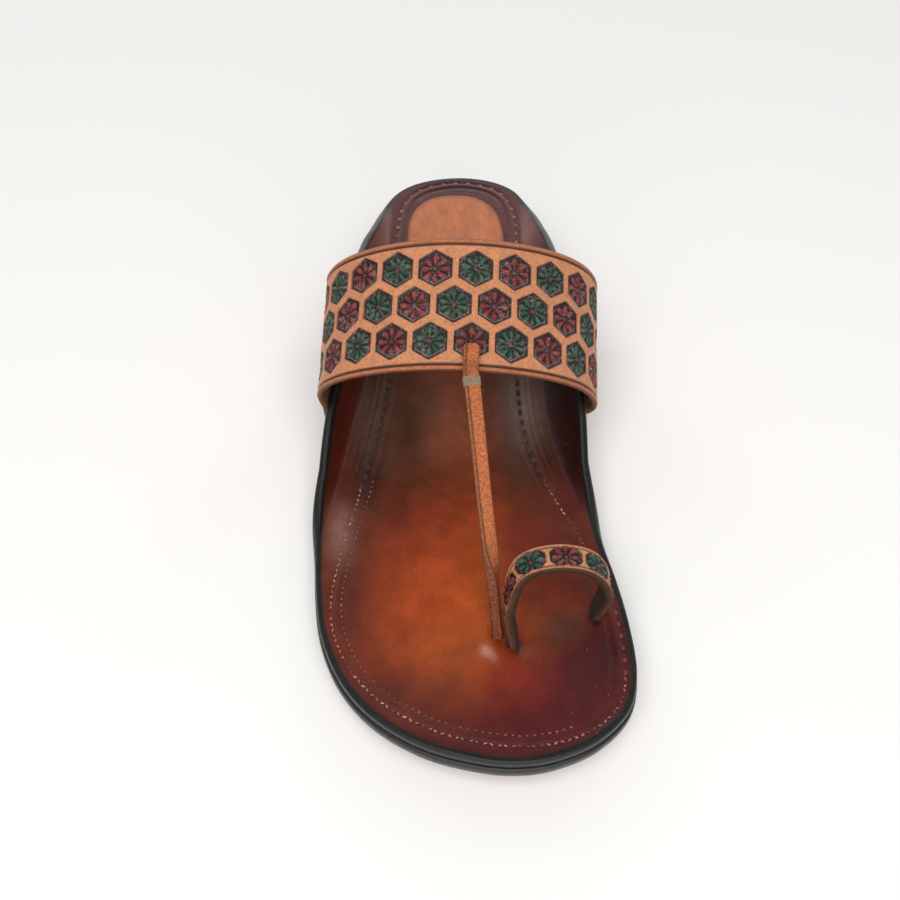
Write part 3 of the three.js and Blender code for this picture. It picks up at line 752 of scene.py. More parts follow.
LEG_FINE = 90
ARCH_FINE = 700
EDGE_V = np.array([0, 0.03, 0.12, 0.27, 0.48, 0.75, 1.1])
v_line = np.concatenate([EDGE_V, np.arange(1.45, BAND_WIDTH - 1.3, 0.36), BAND_WIDTH - EDGE_V[::-1]])
back = v_line / BAND_WIDTH
legs = [leg(s, back, np.linspace(0, 1, LEG_FINE)) for s in (1, -1)]
over = arch(np.linspace(0, math.pi, ARCH_FINE)[:, None], back[None])
strip = np.concatenate([legs[0][::-1], over[1:-1], legs[1]])
mid_line = strip[:, len(back) // 2]
run_length = length_so_far(mid_line)
apex = run_length[LEG_FINE - 1 + ARCH_FINE // 2]
print(f"band strip {run_length[-1]:.1f} mm long")

# %% Even steps along the band
STEP_U = 0.36
u_line = np.arange(0, run_length[-1], STEP_U)
u_line = np.append(u_line, run_length[-1])
even = np.empty((len(u_line), len(back), 3))
for k in range(3):
    for j in range(len(back)):
        even[:, j, k] = np.interp(u_line, run_length, strip[:, j, k])
# u counts from the crown, positive towards the inner side, as the rows of flowers were measured
u_crown = apex - u_line
print("band grid", even.shape[:2])


# %% [markdown]
# The flower: a regular hexagon pressed down with a dark line round it, and petals left standing in it, narrow
# at the middle and round outside, eight in the red ones and ten in the green. It is a rule in millimetres
# from the hexagon's middle, so one function serves the band and the toe loop, at two sizes.
# Inside the dark line a low ridge carries a painted highlight, strongest on the lower sides.
# %% Tooled hexagon
PITCH = 14.2
HEX_WIDE = 11.9
PRESSED_DEEP = 0.75
PETAL_HIGH = 0.8
EYE_HIGH = 0.35
RIDGE_HIGH = 0.2
HEX_RED = ("#96292a", "#320c10")
HEX_GREEN = ("#2d5c42", "#0c1c14")
HEX_GROUND = "#150b0d"
HEX_LINE = "#160b0c"
HEX_RIM_HIGHLIGHT = "#94857e"
HEX_EYE = "#6b322b"
TAN = linear("#c27f57")


def hexagon(a, b, size, petals):
    """For places (a, b) from the middle: depth inside, petal share, way along it, eye, petal number, ridge."""
    a, b = a / size, b / size
    edge = HEX_WIDE / 2 - np.maximum(np.abs(a), np.abs(a) / 2 + np.abs(b) * math.sqrt(3) / 2)
    far = np.hypot(a, b)
    turn = (np.arctan2(b, a) + math.pi / 2) / (2 * math.pi) * petals
    offset = (turn - np.round(turn)) * 2 * math.pi / petals
    sideways = far * np.sin(offset)
    forward = far * np.cos(offset)
    s = np.clip((forward - 0.95) / 4.05, 0, 1)
    widest = 4.1 * np.tan(math.pi / petals) * 0.84
    half = widest * s ** 0.85 * np.sqrt(np.clip(1 - s ** 7, 0, 1)) + 0.02
    inside = np.clip(1 - np.abs(sideways) / half, 0, 1) * (s > 0) * (s < 1)
    eye = ease((0.85 - far) / 0.35)
    # the ridge stands higher and carries more painted highlight on its lower sides
    ridge = hump(edge - 0.97, 0.2) * (0.15 + 0.85 * ease((1 - b) / 4))
    return edge * size, inside, s, eye, np.round(turn), ridge


def stamp(edge, inside, s, eye, petal_number, ridge, flower_number, red, size):
    """Height and colour that the stamp and the dye leave at each place, with a painted highlight on the ridge inside
    the line.
    """
    pressed = ease((edge + 0.1) / 0.5)
    dome = np.sqrt(np.clip(1 - (1 - inside) ** 2, 0, 1)) * (inside > 0)
    height = -PRESSED_DEEP * pressed + PETAL_HIGH * size * dome * (0.5 + 0.5 * s)
    height += (EYE_HIGH * eye + RIDGE_HIGH * ridge) * pressed
    petal = ease(inside / 0.16) * pressed
    bright, deep = (np.where(red[..., None], linear(a), linear(b)) for a, b in zip(HEX_RED, HEX_GREEN))
    worn = 0.5 + 0.5 * np.sin(petal_number * 2.4 + flower_number * 1.7 + 5 * np.sin(flower_number * 2.9))
    share = (0.15 + 0.85 * dome * s ** 0.6) * (0.6 + 0.5 * worn)
    colour = mix(deep, bright, share[..., None])
    # the ridge's pale tint is a painted highlight
    ground = dyed(dyed(linear(HEX_GROUND), HEX_RIM_HIGHLIGHT, 0.58 * ridge), HEX_LINE, ease((0.75 - edge) / 0.3))
    colour = dyed(mix(ground, colour, petal[..., None]), HEX_EYE, eye * pressed)
    return height, colour, ease((edge + 0.25) / 0.3)


# %% Stamp the band
# The tool was struck by hand, so the flowers aren't quite evenly spaced. Here is where those of the back row
# lie along the strip, and their numbers; the places between follow.
FLOWER_AT = [-95, -43.2, -30.2, -17, -3.5, 10.8, 25.3, 40.6, 55.6, 98]
FLOWER_NO = [-7, -3, -2, -1, 0, 1, 2, 3, 4, 7]
# distance of each row from the front edge, its shift in flowers, and whether its even flowers are red
FLOWER_ROWS = [(10.6, -0.05, False), (23.9, 0.5, False), (37.2, 0.0, True)]
ROW_SWAY = 1.2


def band_pattern():
    u, v = np.meshgrid(u_crown, v_line, indexing="ij")
    v = v - ROW_SWAY * hump(u + 27, 13)
    height = np.zeros_like(u)
    colour = np.tile(TAN, u.shape + (1,))
    wet = np.zeros_like(u)
    number = np.interp(u, FLOWER_AT, FLOWER_NO)
    for centre, shift, even_red in FLOWER_ROWS:
        k = np.round(number - shift)
        a = (number - shift - k) * PITCH
        red = (np.mod(k, 2) == 0) == even_red
        for is_red, petals in ((True, 8), (False, 10)):
            edge, *parts = hexagon(a, v - centre, 1.0, petals)
            h, c, mask = stamp(edge, *parts, k + centre, red, 1.0)
            here = (edge > -0.4) & (red == is_red)
            height = np.where(here, h, height)
            colour = np.where(here[..., None], mix(colour, c, mask[..., None]), colour)
            wet = np.where(here, mask, wet)
    return height, colour, wet


# along both edges runs a dark crease, then a raised bead with a painted orange highlight, then the cut edge
CREASE_IN = 2.2
CREASE_WIDE = 0.6
CREASE_DEEP = 0.6
BEAD_IN = 1.25
BEAD_HIGH = 0.16
height, colour, wet = band_pattern()
to_edge = np.minimum(v_line, BAND_WIDTH - v_line)[None, :] + 0 * height
crease = hump(to_edge - CREASE_IN, CREASE_WIDE, 4)
height += BEAD_HIGH * hump(to_edge - BEAD_IN, 0.45) - CREASE_DEEP * crease
colour = dyed(colour, "#1f0b07", 0.95 * crease)
# painted highlight: orange along the bead
colour = dyed(colour, "#a8552c", 0.75 * ease((1.7 - to_edge) / 0.4) * ease((to_edge - 0.4) / 0.4))
colour = dyed(colour, "#4a2114", 0.9 * ease((0.75 - to_edge) / 0.45))
print(f"stamping down to {height.min():.2f} mm")


# %% Band mesh
def quarter_round(inward, reach):
    """Height of a rounded edge, from 0 at the edge to 1 at reach and past it."""
    return np.sqrt(np.clip(1 - np.clip(1 - inward / reach, 0, 1) ** 2, 0, 1))


def strap_mesh(name, grain_side, flesh_side):
    """A closed strip from two sheets, each (points, tone, wet, flesh), laid edge to edge."""
    points, tone, wet, flesh = (np.concatenate(pair, 1) for pair in zip(grain_side, flesh_side))
    return make_mesh(name, points.reshape(-1, 3), tube_faces(*points.shape[:2]),
                     {"tone": tone.reshape(-1, 3), "wet": wet.ravel(), "flesh": flesh.ravel()}, 1e-7)


def band_mesh():
    normal = unit(np.cross(np.gradient(even, axis=1), np.gradient(even, axis=0)))
    round_off = quarter_round(np.minimum(v_line, BAND_WIDTH - v_line), BAND_THICK / 2)
    outer = even + normal * (BAND_THICK / 2 * round_off + height * (round_off > 0.999))[..., None]
    # the plain flesh side needs far fewer columns than the stamped one
    edge_count, last = len(EDGE_V), len(v_line) - 1
    kept = np.concatenate([np.arange(1, edge_count), np.arange(edge_count, last + 1 - edge_count, 10),
                           np.arange(last + 1 - edge_count, last)])
    inner = (even - normal * (BAND_THICK / 2 * round_off)[..., None])[:, kept][:, ::-1]
    under = np.tile(linear("#6a4228"), inner.shape[:2] + (1,))
    return strap_mesh("instep_band", (outer, colour, wet, np.zeros(outer.shape[:2])),
                      (inner, under, np.zeros(inner.shape[:2]), np.ones(inner.shape[:2])))


band = band_mesh()

# %% [markdown]
# The thong and the toe loop are straps that turn as they go. Both follow a smooth curve through a few
# places, like a bent batten, with a side direction at each place that says how the strap is twisted.
# %% Strap courses
X_AXIS = np.array([1.0, 0, 0])
Y_AXIS = np.array([0, 1.0, 0])


def batten(points):
    """Centripetal curve through points: returns a function of t from 0 to 1."""
    points = [np.array(p, float) for p in points]
    last = len(points) - 1

    def place(t):
        p = min(max(t, 0), 1) * last
        i = min(int(math.floor(p)), last - 1)
        w = p - i
        b, c = points[i], points[i + 1]
        a = points[i - 1] if i > 0 else 2 * points[0] - points[1]
        d = points[i + 2] if i + 2 <= last else 2 * points[last] - points[last - 1]
        steps = [max(np.sum((q - r) ** 2) ** 0.25, 1e-6) for q, r in ((b, a), (c, b), (d, c))]
        t1 = ((b - a) / steps[0] - (c - a) / (steps[0] + steps[1]) + (c - b) / steps[1]) * steps[1]
        t2 = ((c - b) / steps[1] - (d - b) / (steps[1] + steps[2]) + (d - c) / steps[2]) * steps[1]
        return b + t1 * w + (-3 * b + 3 * c - 2 * t1 - t2) * w ** 2 + (2 * b - 2 * c + t1 + t2) * w ** 3
    return place


def course(points, widths, sides, step):
    """Stations at even steps: places, side directions, normals, widths and length so far."""
    place = batten(points)
    t = np.linspace(0, 1, 3000)
    line = np.array([place(x) for x in t])
    length = length_so_far(line)
    s = np.linspace(0, length[-1], int(length[-1] / step) + 1)
    where = np.interp(s, length, t) * (len(points) - 1)
    low = np.minimum(where.astype(int), len(points) - 2)
    share = (where - low)[:, None]
    spots = np.stack([np.interp(s, length, line[:, k]) for k in range(3)], 1)
    run = unit(np.gradient(spots, axis=0))
    sides = np.array(sides)
    flat = mix(sides[low], sides[low + 1], share)
    flat = unit(flat - run * np.sum(flat * run, axis=1, keepdims=True))
    wide = np.interp(where, np.arange(len(widths)), widths)
    return dict(spots=spots, flat=flat, up=np.cross(flat, run), wide=wide, s=s)


# %% [markdown]
# The thong is a narrow strap folded along its length and hammered: a closed seam runs near its left edge.
# Its upper end is rounded and lies on the band, and its foot goes side-on through the footbed.
# %% Thong
THONG_WIDTH = 5.5
THONG_THICK = 3.6
THONG_SEAT = 0.434
THONG_ACROSS = 0.051 * BALL_WIDTH
THONG_PLACE = 0.836
TAB_LENGTH = 9.0
TAB_ROUND = 1.8
TAB_TIP = 0.62
SINK = 0.4
# share of the way down, height share, sway, turn in degrees, width share
THONG = [
    (0.1, 0.915, 0, 0, 1),
    (0.3, 0.73, 0, 4, 0.96),
    (0.5, 0.53, 0, 6, 0.94),
    (0.68, 0.35, 0.02, 18, 0.94),
    (0.79, 0.235, 0.02, 80, 0.94),
    (0.9, 0.12, 0, 90, 0.94),
    (0.985, 0.02, 0, 90, 0.94),
    (1.01, -0.07, 0, 90, 0.94),
]


def thong_course(step):
    lie = BAND_THICK / 2 + THONG_THICK / 2 - SINK
    on_band = lambda d: arch(math.pi * THONG_SEAT, d / BAND_WIDTH) + band_up * lie
    top = on_band(0.0)
    foot_y = LENGTH * (0.5 - THONG_PLACE)
    foot = np.array([THONG_ACROSS, foot_y, float(bed_height(foot_y))])
    points = [on_band(TAB_LENGTH), on_band(TAB_LENGTH / 2), top]
    widths = [THONG_WIDTH] * 3
    sides = [X_AXIS] * 3
    for along, up, sway, turn, wide in THONG:
        points.append([mix(top[0], foot[0], along) + sway * THONG_WIDTH, mix(top[1], foot[1], along),
                       mix(foot[2], top[2], up)])
        widths.append(wide * THONG_WIDTH)
        turn = math.radians(turn)
        sides.append(X_AXIS * math.cos(turn) + Y_AXIS * math.sin(turn))
    return course(points, widths, sides, step)


def strap_section(count, square):
    """Rounded section from one edge round to the other and back, in half widths and half thicknesses."""
    angles = np.linspace(0, 2 * math.pi, count, endpoint=False) + math.pi
    return squarish(np.cos(angles), square)[None, :], squarish(np.sin(angles), square)[None, :]


def thong_mesh():
    way = thong_course(0.45)
    w, t = strap_section(44, 4.5)
    s = way["s"]
    tab = mix(TAB_TIP, 1, quarter_round(s, TAB_ROUND))
    wide = way["wide"] / 2 * tab
    thick = THONG_THICK / 2 * np.interp(s, [0, 1.2, 6, 12], [0.75, 0.9, 0.92, 1]) + 0 * s
    crinkle = 0.11 * np.sin(s[:, None] * 5.6 + 5 * w) * np.sin(s[:, None] * 2.7 - 9 * w)
    seam_dip = 0.4 * hump(w + 0.62, 0.09) + 0.2 * hump(w + 0.3, 0.05)
    lift = t * thick[:, None] + np.sign(t) * (crinkle - seam_dip * (np.abs(t) > 0.8))
    points = (way["spots"][:, None] + way["flat"][:, None] * (w * wide[:, None])[..., None]
              + way["up"][:, None] * lift[..., None])
    tone = np.tile(linear("#ad6035"), lift.shape + (1,))
    down = s[:, None]
    # side faces, the folded strip at the left, the seam, the worn foot, the part pressed by the binding
    for code, share in (("#7e4a2e", 0.7 * ease((np.abs(w) - 0.93) / 0.06)),
                        ("#84563a", 0.55 * ease((-w - 0.55) / 0.08)),
                        ("#4c2615", 0.8 * np.clip(seam_dip / 0.3, 0, 1)),
                        ("#642a12", 0.85 * ease((down - 60) / 28)),
                        ("#7c3f24", 0.55 * ease((down - 4.5) / 3) * ease((11.5 - down) / 2))):
        tone = dyed(tone, code, share + 0 * lift)
    zero = np.zeros(lift.size)
    return make_mesh("toe_thong", points.reshape(-1, 3), tube_faces(*lift.shape),
                     {"tone": tone.reshape(-1, 3), "wet": zero, "flesh": zero}, 1e-7)


thong = thong_mesh()

# %% [markdown]
# The toe loop is a narrower strip cut from the same stamped leather, so its edges cut through the flowers.
# Both ends are pared down to a tongue that goes through a slot of the footbed.
# %% Toe loop
LOOP_WIDTH = 9.4
LOOP_THICK = 3.0
LOOP_ACROSS = 0.1 * BALL_WIDTH
LOOP_PLACE = 0.849
LOOP_SPAN = 0.267 * BALL_WIDTH
LOOP_SKEW = 10.5
LOOP_RISE = 22.0
LOOP_LEAN = 13.5
# share across, height share, share back, width share
LOOP = [
    (0, -0.17, 0, 0.55),
    (0, 0, 0, 0.55),
    (-0.045, 0.4, 0.5, 0.95),
    (0.11, 0.82, 0.92, 1),
    (0.5, 1, 1, 1),
    (0.93, 0.82, 0.92, 1),
    (1.115, 0.4, 0.5, 0.95),
    (1, 0, 0, 0.55),
    (1, -0.17, 0, 0.55),
]


def loop_course(step):
    leg_y = LENGTH * (0.5 - LOOP_PLACE)
    base = float(bed_height(leg_y))
    top_y = leg_y + LOOP_SKEW / 2 + LOOP_LEAN
    points = []
    for across, up, back, wide in LOOP:
        foot_y = leg_y + LOOP_SKEW * min(max(across, 0), 1)
        points.append([LOOP_ACROSS + LOOP_SPAN * across, mix(foot_y, top_y, back), base + LOOP_RISE * up])
    return course(points, [wide * LOOP_WIDTH for *_, wide in LOOP], [Y_AXIS] * len(LOOP), step)


LOOP_PITCH = 11.5
LOOP_FLOWER = 0.86
LOOP_START = 2.6
LOOP_CORNER = 4.75
LOOP_BORDER = 1.45
LOOP_CREASE_IN = 1.25
LOOP_CREASE_DEEP = 0.25
LOOP_ROUND = 0.55
LOOP_EDGE_V = np.array([0, 0.02, 0.07, 0.15, 0.26, 0.4, 0.6, 0.85])


def loop_mesh():
    way = loop_course(0.3)
    v = np.concatenate([LOOP_EDGE_V, np.linspace(1.1, 8.3, 27), LOOP_WIDTH - LOOP_EDGE_V[::-1]]) / LOOP_WIDTH
    wide = way["wide"][:, None]
    across = (v[None, :] - 0.5) * wide
    middle = way["spots"][:, None] + way["flat"][:, None] * across[..., None]
    up = way["up"]
    if up[len(up) // 2, 2] < 0:
        up = -up
    to_edge = wide / 2 - np.abs(across)
    crown = way["s"][np.argmax(way["spots"][:, 2])]
    u = (way["s"] - crown)[:, None] + 0 * across
    k = np.round((u - LOOP_START) / LOOP_PITCH)
    a = u - LOOP_START - k * LOOP_PITCH
    edge, *parts = hexagon(a, across, LOOP_FLOWER, 8)
    corner = LOOP_CORNER - (np.abs(a) + np.abs(across)) * math.sqrt(0.5)
    edge = np.minimum(np.minimum(edge, to_edge - LOOP_BORDER), corner)
    h, c, mask = stamp(edge, *parts, k, np.mod(k, 2) == 0, LOOP_FLOWER)
    here = edge > -0.35
    crease = hump(to_edge - LOOP_CREASE_IN, 0.3)
    height = np.where(here, h, 0) - LOOP_CREASE_DEEP * crease
    wet = np.where(here, mask, 0)
    cut = ease((0.5 - to_edge) / 0.3)
    colour = mix(np.tile(TAN, u.shape + (1,)), c, wet[..., None])
    colour = dyed(colour, "#301a1c", 0.85 * crease)
    colour = dyed(colour, "#2e190e", 0.9 * cut)
    colour = dyed(colour, "#5a3220", 0.7 * ease((np.abs(u) - 27) / 8))
    round_off = quarter_round(to_edge, LOOP_ROUND)
    half_thick = LOOP_THICK / 2 - LOOP_ROUND + LOOP_ROUND * round_off
    outer = middle + up[:, None] * (half_thick + height * (round_off > 0.99))[..., None]
    # the flesh side needs only some of the columns
    kept = np.array([0, 2, 4, 6, 8, 14, 21, 28, 34, 36, 38, 40, 42])
    inner = (middle[:, kept] - up[:, None] * half_thick[:, kept][..., None])[:, ::-1]
    tone_in = np.tile(linear("#2f1c10"), inner.shape[:2] + (1,))
    tone_in = dyed(tone_in, "#2a1a10", 0.8 * ease((0.8 - to_edge[:, kept][:, ::-1]) / 0.6))
    return strap_mesh("toe_loop_strap", (outer, colour, wet, cut),
                      (inner, tone_in, np.zeros(inner.shape[:2]), np.ones(inner.shape[:2])))


loop = loop_mesh()

# %% [markdown]
# Stitches repeat along a path, which is what Geometry Nodes are for. One tree takes a path, puts a stitch
# every few millimetres and lays it along the path. Sizes are named inputs and the small unevenness of
# handwork comes from a fixed seed. Its result is turned into a plain mesh, so the export keeps it.
# %% Node helper
def add(tree, kind, inputs=None, **settings):
    """Add one node: its settings, then its inputs, each a value or a socket to link."""
    node = tree.nodes.new(kind)
    for key, value in settings.items():
        setattr(node, key, value)
    for key, value in (inputs or {}).items():
        socket = node.inputs[key]
        if isinstance(value, bpy.types.NodeSocket):
            tree.links.new(value, socket)
        else:
            socket.default_value = value
    return node


# %% Stitch tree
def stitch_tree():
    tree = bpy.data.node_groups.new("stitches along a path", "GeometryNodeTree")
    tree.is_modifier = True
    face = tree.interface
    face.new_socket("Geometry", in_out="INPUT", socket_type="NodeSocketGeometry")
    for name, value in (("Pitch", 0.0043), ("Length", 0.0012), ("Width", 0.0006), ("Height", 0.0004),
                        ("Pair gap", 0.0), ("Unevenness", 0.15)):
        face.new_socket(name, in_out="INPUT", socket_type="NodeSocketFloat").default_value = value
    face.new_socket("Seed", in_out="INPUT", socket_type="NodeSocketInt").default_value = 7
    face.new_socket("Thread", in_out="INPUT", socket_type="NodeSocketMaterial")
    face.new_socket("Geometry", in_out="OUTPUT", socket_type="NodeSocketGeometry")
    given = add(tree, "NodeGroupInput").outputs
    curve = add(tree, "GeometryNodeMeshToCurve", {"Mesh": given["Geometry"]})
    upright = add(tree, "GeometryNodeSetCurveNormal", {"Curve": curve.outputs[0]}, mode="Z_UP")
    spots = add(tree, "GeometryNodeCurveToPoints", {"Curve": upright.outputs[0], "Length": given["Pitch"]},
                mode="LENGTH")
    ball = add(tree, "GeometryNodeMeshUVSphere", {"Segments": 8, "Rings": 6, "Radius": 0.5})
    size = add(tree, "ShaderNodeCombineXYZ", {"X": given["Width"], "Y": given["Height"], "Z": given["Length"]})
    # two balls, half the pair gap to each side of the spot and tilted towards each other
    pair = add(tree, "GeometryNodeJoinGeometry")
    for share, tilt in ((0.5, 0.42), (-0.5, -0.42)):
        aside = add(tree, "ShaderNodeMath", {0: given["Pair gap"], 1: share}, operation="MULTIPLY")
        place = add(tree, "ShaderNodeCombineXYZ", {"Z": aside.outputs[0]})
        one = add(tree, "GeometryNodeTransform", {
            "Geometry": ball.outputs["Mesh"], "Translation": place.outputs[0],
            "Rotation": (0, tilt, 0), "Scale": size.outputs[0]})
        tree.links.new(one.outputs[0], pair.inputs[0])
    low = add(tree, "ShaderNodeMath", {0: 1.0, 1: given["Unevenness"]}, operation="SUBTRACT")
    high = add(tree, "ShaderNodeMath", {0: 1.0, 1: given["Unevenness"]}, operation="ADD")
    uneven = add(tree, "FunctionNodeRandomValue", {2: low.outputs[0], 3: high.outputs[0],
                                                   "Seed": given["Seed"]}, data_type="FLOAT")
    placed = add(tree, "GeometryNodeInstanceOnPoints", {
        "Points": spots.outputs["Points"], "Instance": pair.outputs[0],
        "Rotation": spots.outputs["Rotation"], "Scale": uneven.outputs[1]})
    real = add(tree, "GeometryNodeRealizeInstances", {"Geometry": placed.outputs[0]})
    smooth_it = add(tree, "GeometryNodeSetShadeSmooth", {"Geometry": real.outputs[0]})
    done = add(tree, "GeometryNodeSetMaterial", {"Geometry": smooth_it.outputs[0], "Material": given["Thread"]})
    add(tree, "NodeGroupOutput", {"Geometry": done.outputs[0]})
    return tree


def winding_tree():
    """Thread wound round the thong: a round section swept along a path."""
    tree = bpy.data.node_groups.new("thread along a path", "GeometryNodeTree")
    tree.is_modifier = True
    face = tree.interface
    face.new_socket("Geometry", in_out="INPUT", socket_type="NodeSocketGeometry")
    face.new_socket("Thread radius", in_out="INPUT", socket_type="NodeSocketFloat").default_value = 0.0002
    face.new_socket("Thread", in_out="INPUT", socket_type="NodeSocketMaterial")
    face.new_socket("Geometry", in_out="OUTPUT", socket_type="NodeSocketGeometry")
    given = add(tree, "NodeGroupInput").outputs
    curve = add(tree, "GeometryNodeMeshToCurve", {"Mesh": given["Geometry"]})
    ring = add(tree, "GeometryNodeCurvePrimitiveCircle", {"Resolution": 8, "Radius": given["Thread radius"]},
               mode="RADIUS")
    body = add(tree, "GeometryNodeCurveToMesh", {"Curve": curve.outputs[0],
                                                 "Profile Curve": ring.outputs["Curve"], "Fill Caps": True})
    real = add(tree, "GeometryNodeRealizeInstances", {"Geometry": body.outputs[0]})
    smooth_it = add(tree, "GeometryNodeSetShadeSmooth", {"Geometry": real.outputs[0]})
    done = add(tree, "GeometryNodeSetMaterial", {"Geometry": smooth_it.outputs[0], "Material": given["Thread"]})
    add(tree, "NodeGroupOutput", {"Geometry": done.outputs[0]})
    return tree


STITCHES = stitch_tree()
WINDING = winding_tree()
print("trees", STITCHES.name, "and", WINDING.name)


# %% Run a tree along a path
def along_path(name, path, tree, settings):
    """Lay the tree's geometry along path (mm) and return it as a plain mesh object."""
    mesh = bpy.data.meshes.new(name)
    links = [(i, i + 1) for i in range(len(path) - 1)]
    mesh.from_pydata(to_metres(path).tolist(), links, [])
    obj = new_object(name, mesh)
    modifier = obj.modifiers.new("along", "NODES")
    modifier.node_group = tree
    for item in tree.interface.items_tree:
        if item.item_type == "SOCKET" and item.in_out == "INPUT" and item.name in settings:
            modifier[item.identifier] = settings[item.name]
    depsgraph = bpy.context.evaluated_depsgraph_get()
    made = bpy.data.meshes.new_from_object(obj.evaluated_get(depsgraph))
    obj.modifiers.remove(modifier)
    obj.data = made
    made.name = name
    bpy.data.meshes.remove(mesh)
    return obj


# %% [markdown]
# Vegetable-tanned leather is dyed, waxed and rubbed. Under light it has a soft satin shine that breaks up over a
# very fine grain, and the dye sits unevenly in it. One material function gives all leathers here that build: colour
# from the mesh, cloudy dye, pores, tiny nicks, pale painted glints on the dyed stamping, and a shine that varies.
# Real pores are about 0.3 mm wide. They are drawn at 0.5 to 0.75 mm, so that they show in the render.
# %% Leather
GLINT_FLECK_MM = 1.0526
WET_ROUGH = 0.26
FLESH_ROUGH = 0.95


def new_material(name):
    material = bpy.data.materials.new(name)
    material.use_nodes = True
    material.node_tree.nodes.clear()
    return material, material.node_tree


def leather(name, cloud_mm, cloud, grain_mm, grain, rough, bump, nicks=0.0, nick_mm=6.0, nick_share=0.04,
            nick_code="#b8876c", glint_flecks=0.0, stretch=(1, 1, 1), specular=0.5):
    """Sizes of the clouds, grain and nicks in mm; cloud and grain are the share by which they change the tone."""
    material, tree = new_material(name)
    place = add(tree, "ShaderNodeTexCoord").outputs["Object"]
    scaled = add(tree, "ShaderNodeMapping", {"Vector": place, "Scale": stretch}).outputs[0]
    tone = add(tree, "ShaderNodeAttribute", attribute_name="tone").outputs["Color"]
    clouds = add(tree, "ShaderNodeTexNoise", {"Vector": scaled, "Scale": 1000 / cloud_mm, "Detail": 5.0,
                                              "Roughness": 0.6}).outputs["Fac"]
    pores = add(tree, "ShaderNodeTexNoise", {"Vector": scaled, "Scale": 1000 / grain_mm, "Detail": 3.0,
                                             "Roughness": 0.65}).outputs["Fac"]
    lift = add(tree, "ShaderNodeMapRange", {"Value": clouds, "From Min": 0.3, "From Max": 0.7,
                                            "To Min": 1 - cloud, "To Max": 1 + cloud}).outputs[0]
    speck = add(tree, "ShaderNodeMapRange", {"Value": pores, "From Min": 0.3, "From Max": 0.7,
                                             "To Min": 1 - grain, "To Max": 1 + grain}).outputs[0]
    both = add(tree, "ShaderNodeMath", {0: lift, 1: speck}, operation="MULTIPLY").outputs[0]
    colour = add(tree, "ShaderNodeVectorMath", {0: tone, "Scale": both}, operation="SCALE").outputs[0]
    shine = add(tree, "ShaderNodeMapRange", {"Value": clouds, "From Min": 0.35, "From Max": 0.65,
                                             "To Min": rough[0], "To Max": rough[1]}).outputs[0]
    if nicks:
        cells = add(tree, "ShaderNodeTexVoronoi", {"Vector": place, "Scale": 1000 / nick_mm})
        close = add(tree, "ShaderNodeMapRange", {"Value": cells.outputs["Distance"], "From Min": nick_share,
                                                 "From Max": nick_share / 2}).outputs[0]
        share = add(tree, "ShaderNodeMath", {0: close, 1: nicks}, operation="MULTIPLY").outputs[0]
        colour = add(tree, "ShaderNodeMix", {0: share, 6: colour, 7: (*linear(nick_code), 1)},
                     data_type="RGBA").outputs[2]
    if glint_flecks:
        # pale painted glints on the dyed stamping, where the clouds allow
        glint_spots = add(tree, "ShaderNodeTexVoronoi", {"Vector": place,
                                                    "Scale": 1000 / GLINT_FLECK_MM}).outputs["Distance"]
        share = add(tree, "ShaderNodeMapRange", {"Value": glint_spots, "From Min": 0.6, "From Max": 0.05}).outputs[0]
        gate = add(tree, "ShaderNodeAttribute", attribute_name="wet").outputs["Fac"]
        some = add(tree, "ShaderNodeMapRange", {"Value": clouds, "From Min": 0.42, "From Max": 0.6}).outputs[0]
        for factor in (gate, some, glint_flecks):
            share = add(tree, "ShaderNodeMath", {0: share, 1: factor}, operation="MULTIPLY").outputs[0]
        colour = add(tree, "ShaderNodeMix", {0: share, 6: colour, 7: (*linear("#a8968c"), 1)},
                     data_type="RGBA").outputs[2]
        flesh_side = add(tree, "ShaderNodeAttribute", attribute_name="flesh").outputs["Fac"]
        for part, dull in ((gate, WET_ROUGH), (flesh_side, FLESH_ROUGH)):
            shine = add(tree, "ShaderNodeMix", {0: part, 2: shine, 3: dull}, data_type="FLOAT").outputs[0]
    rise_of = add(tree, "ShaderNodeBump", {"Strength": bump, "Distance": 0.0006, "Height": pores}).outputs[0]
    surface = add(tree, "ShaderNodeBsdfPrincipled", {
        "Base Color": colour, "Roughness": shine, "Normal": rise_of, "IOR": 1.5, "Specular IOR Level": specular})
    add(tree, "ShaderNodeOutputMaterial", {"Surface": surface.outputs[0]})
    return material


# %% The five leathers
# rubbed with a bone and waxed: cloudy dye, a satin shine and a few pale nicks
burnished = leather("burnished waxed leather", cloud_mm=8, cloud=0.2, grain_mm=0.75, grain=0.14,
                    rough=(0.28, 0.37), bump=0.45, nicks=0.5, specular=0.36)
# cut, dyed and polished edges: almost black, smoother, with a broken shine
polished_edge = leather("black dyed sole edge", cloud_mm=3, cloud=0.3, grain_mm=0.5, grain=0.25,
                        rough=(0.28, 0.42), bump=0.3)
# undyed thin leather, worn by the heel: matt, with marks that run along the foot
tan_patch = leather("natural tan lining leather", cloud_mm=6, cloud=0.26, grain_mm=0.6, grain=0.12,
                    rough=(0.5, 0.62), bump=0.3, stretch=(1.5, 0.6, 1))
# stamped wet and dyed with a brush: an open grain, a smoother shine where it was dyed, and small pale painted glints
# there
tooled = leather("tooled hand dyed leather", cloud_mm=4, cloud=0.14, grain_mm=0.65, grain=0.36,
                 rough=(0.42, 0.52), bump=0.9, glint_flecks=0.45, specular=0.4)
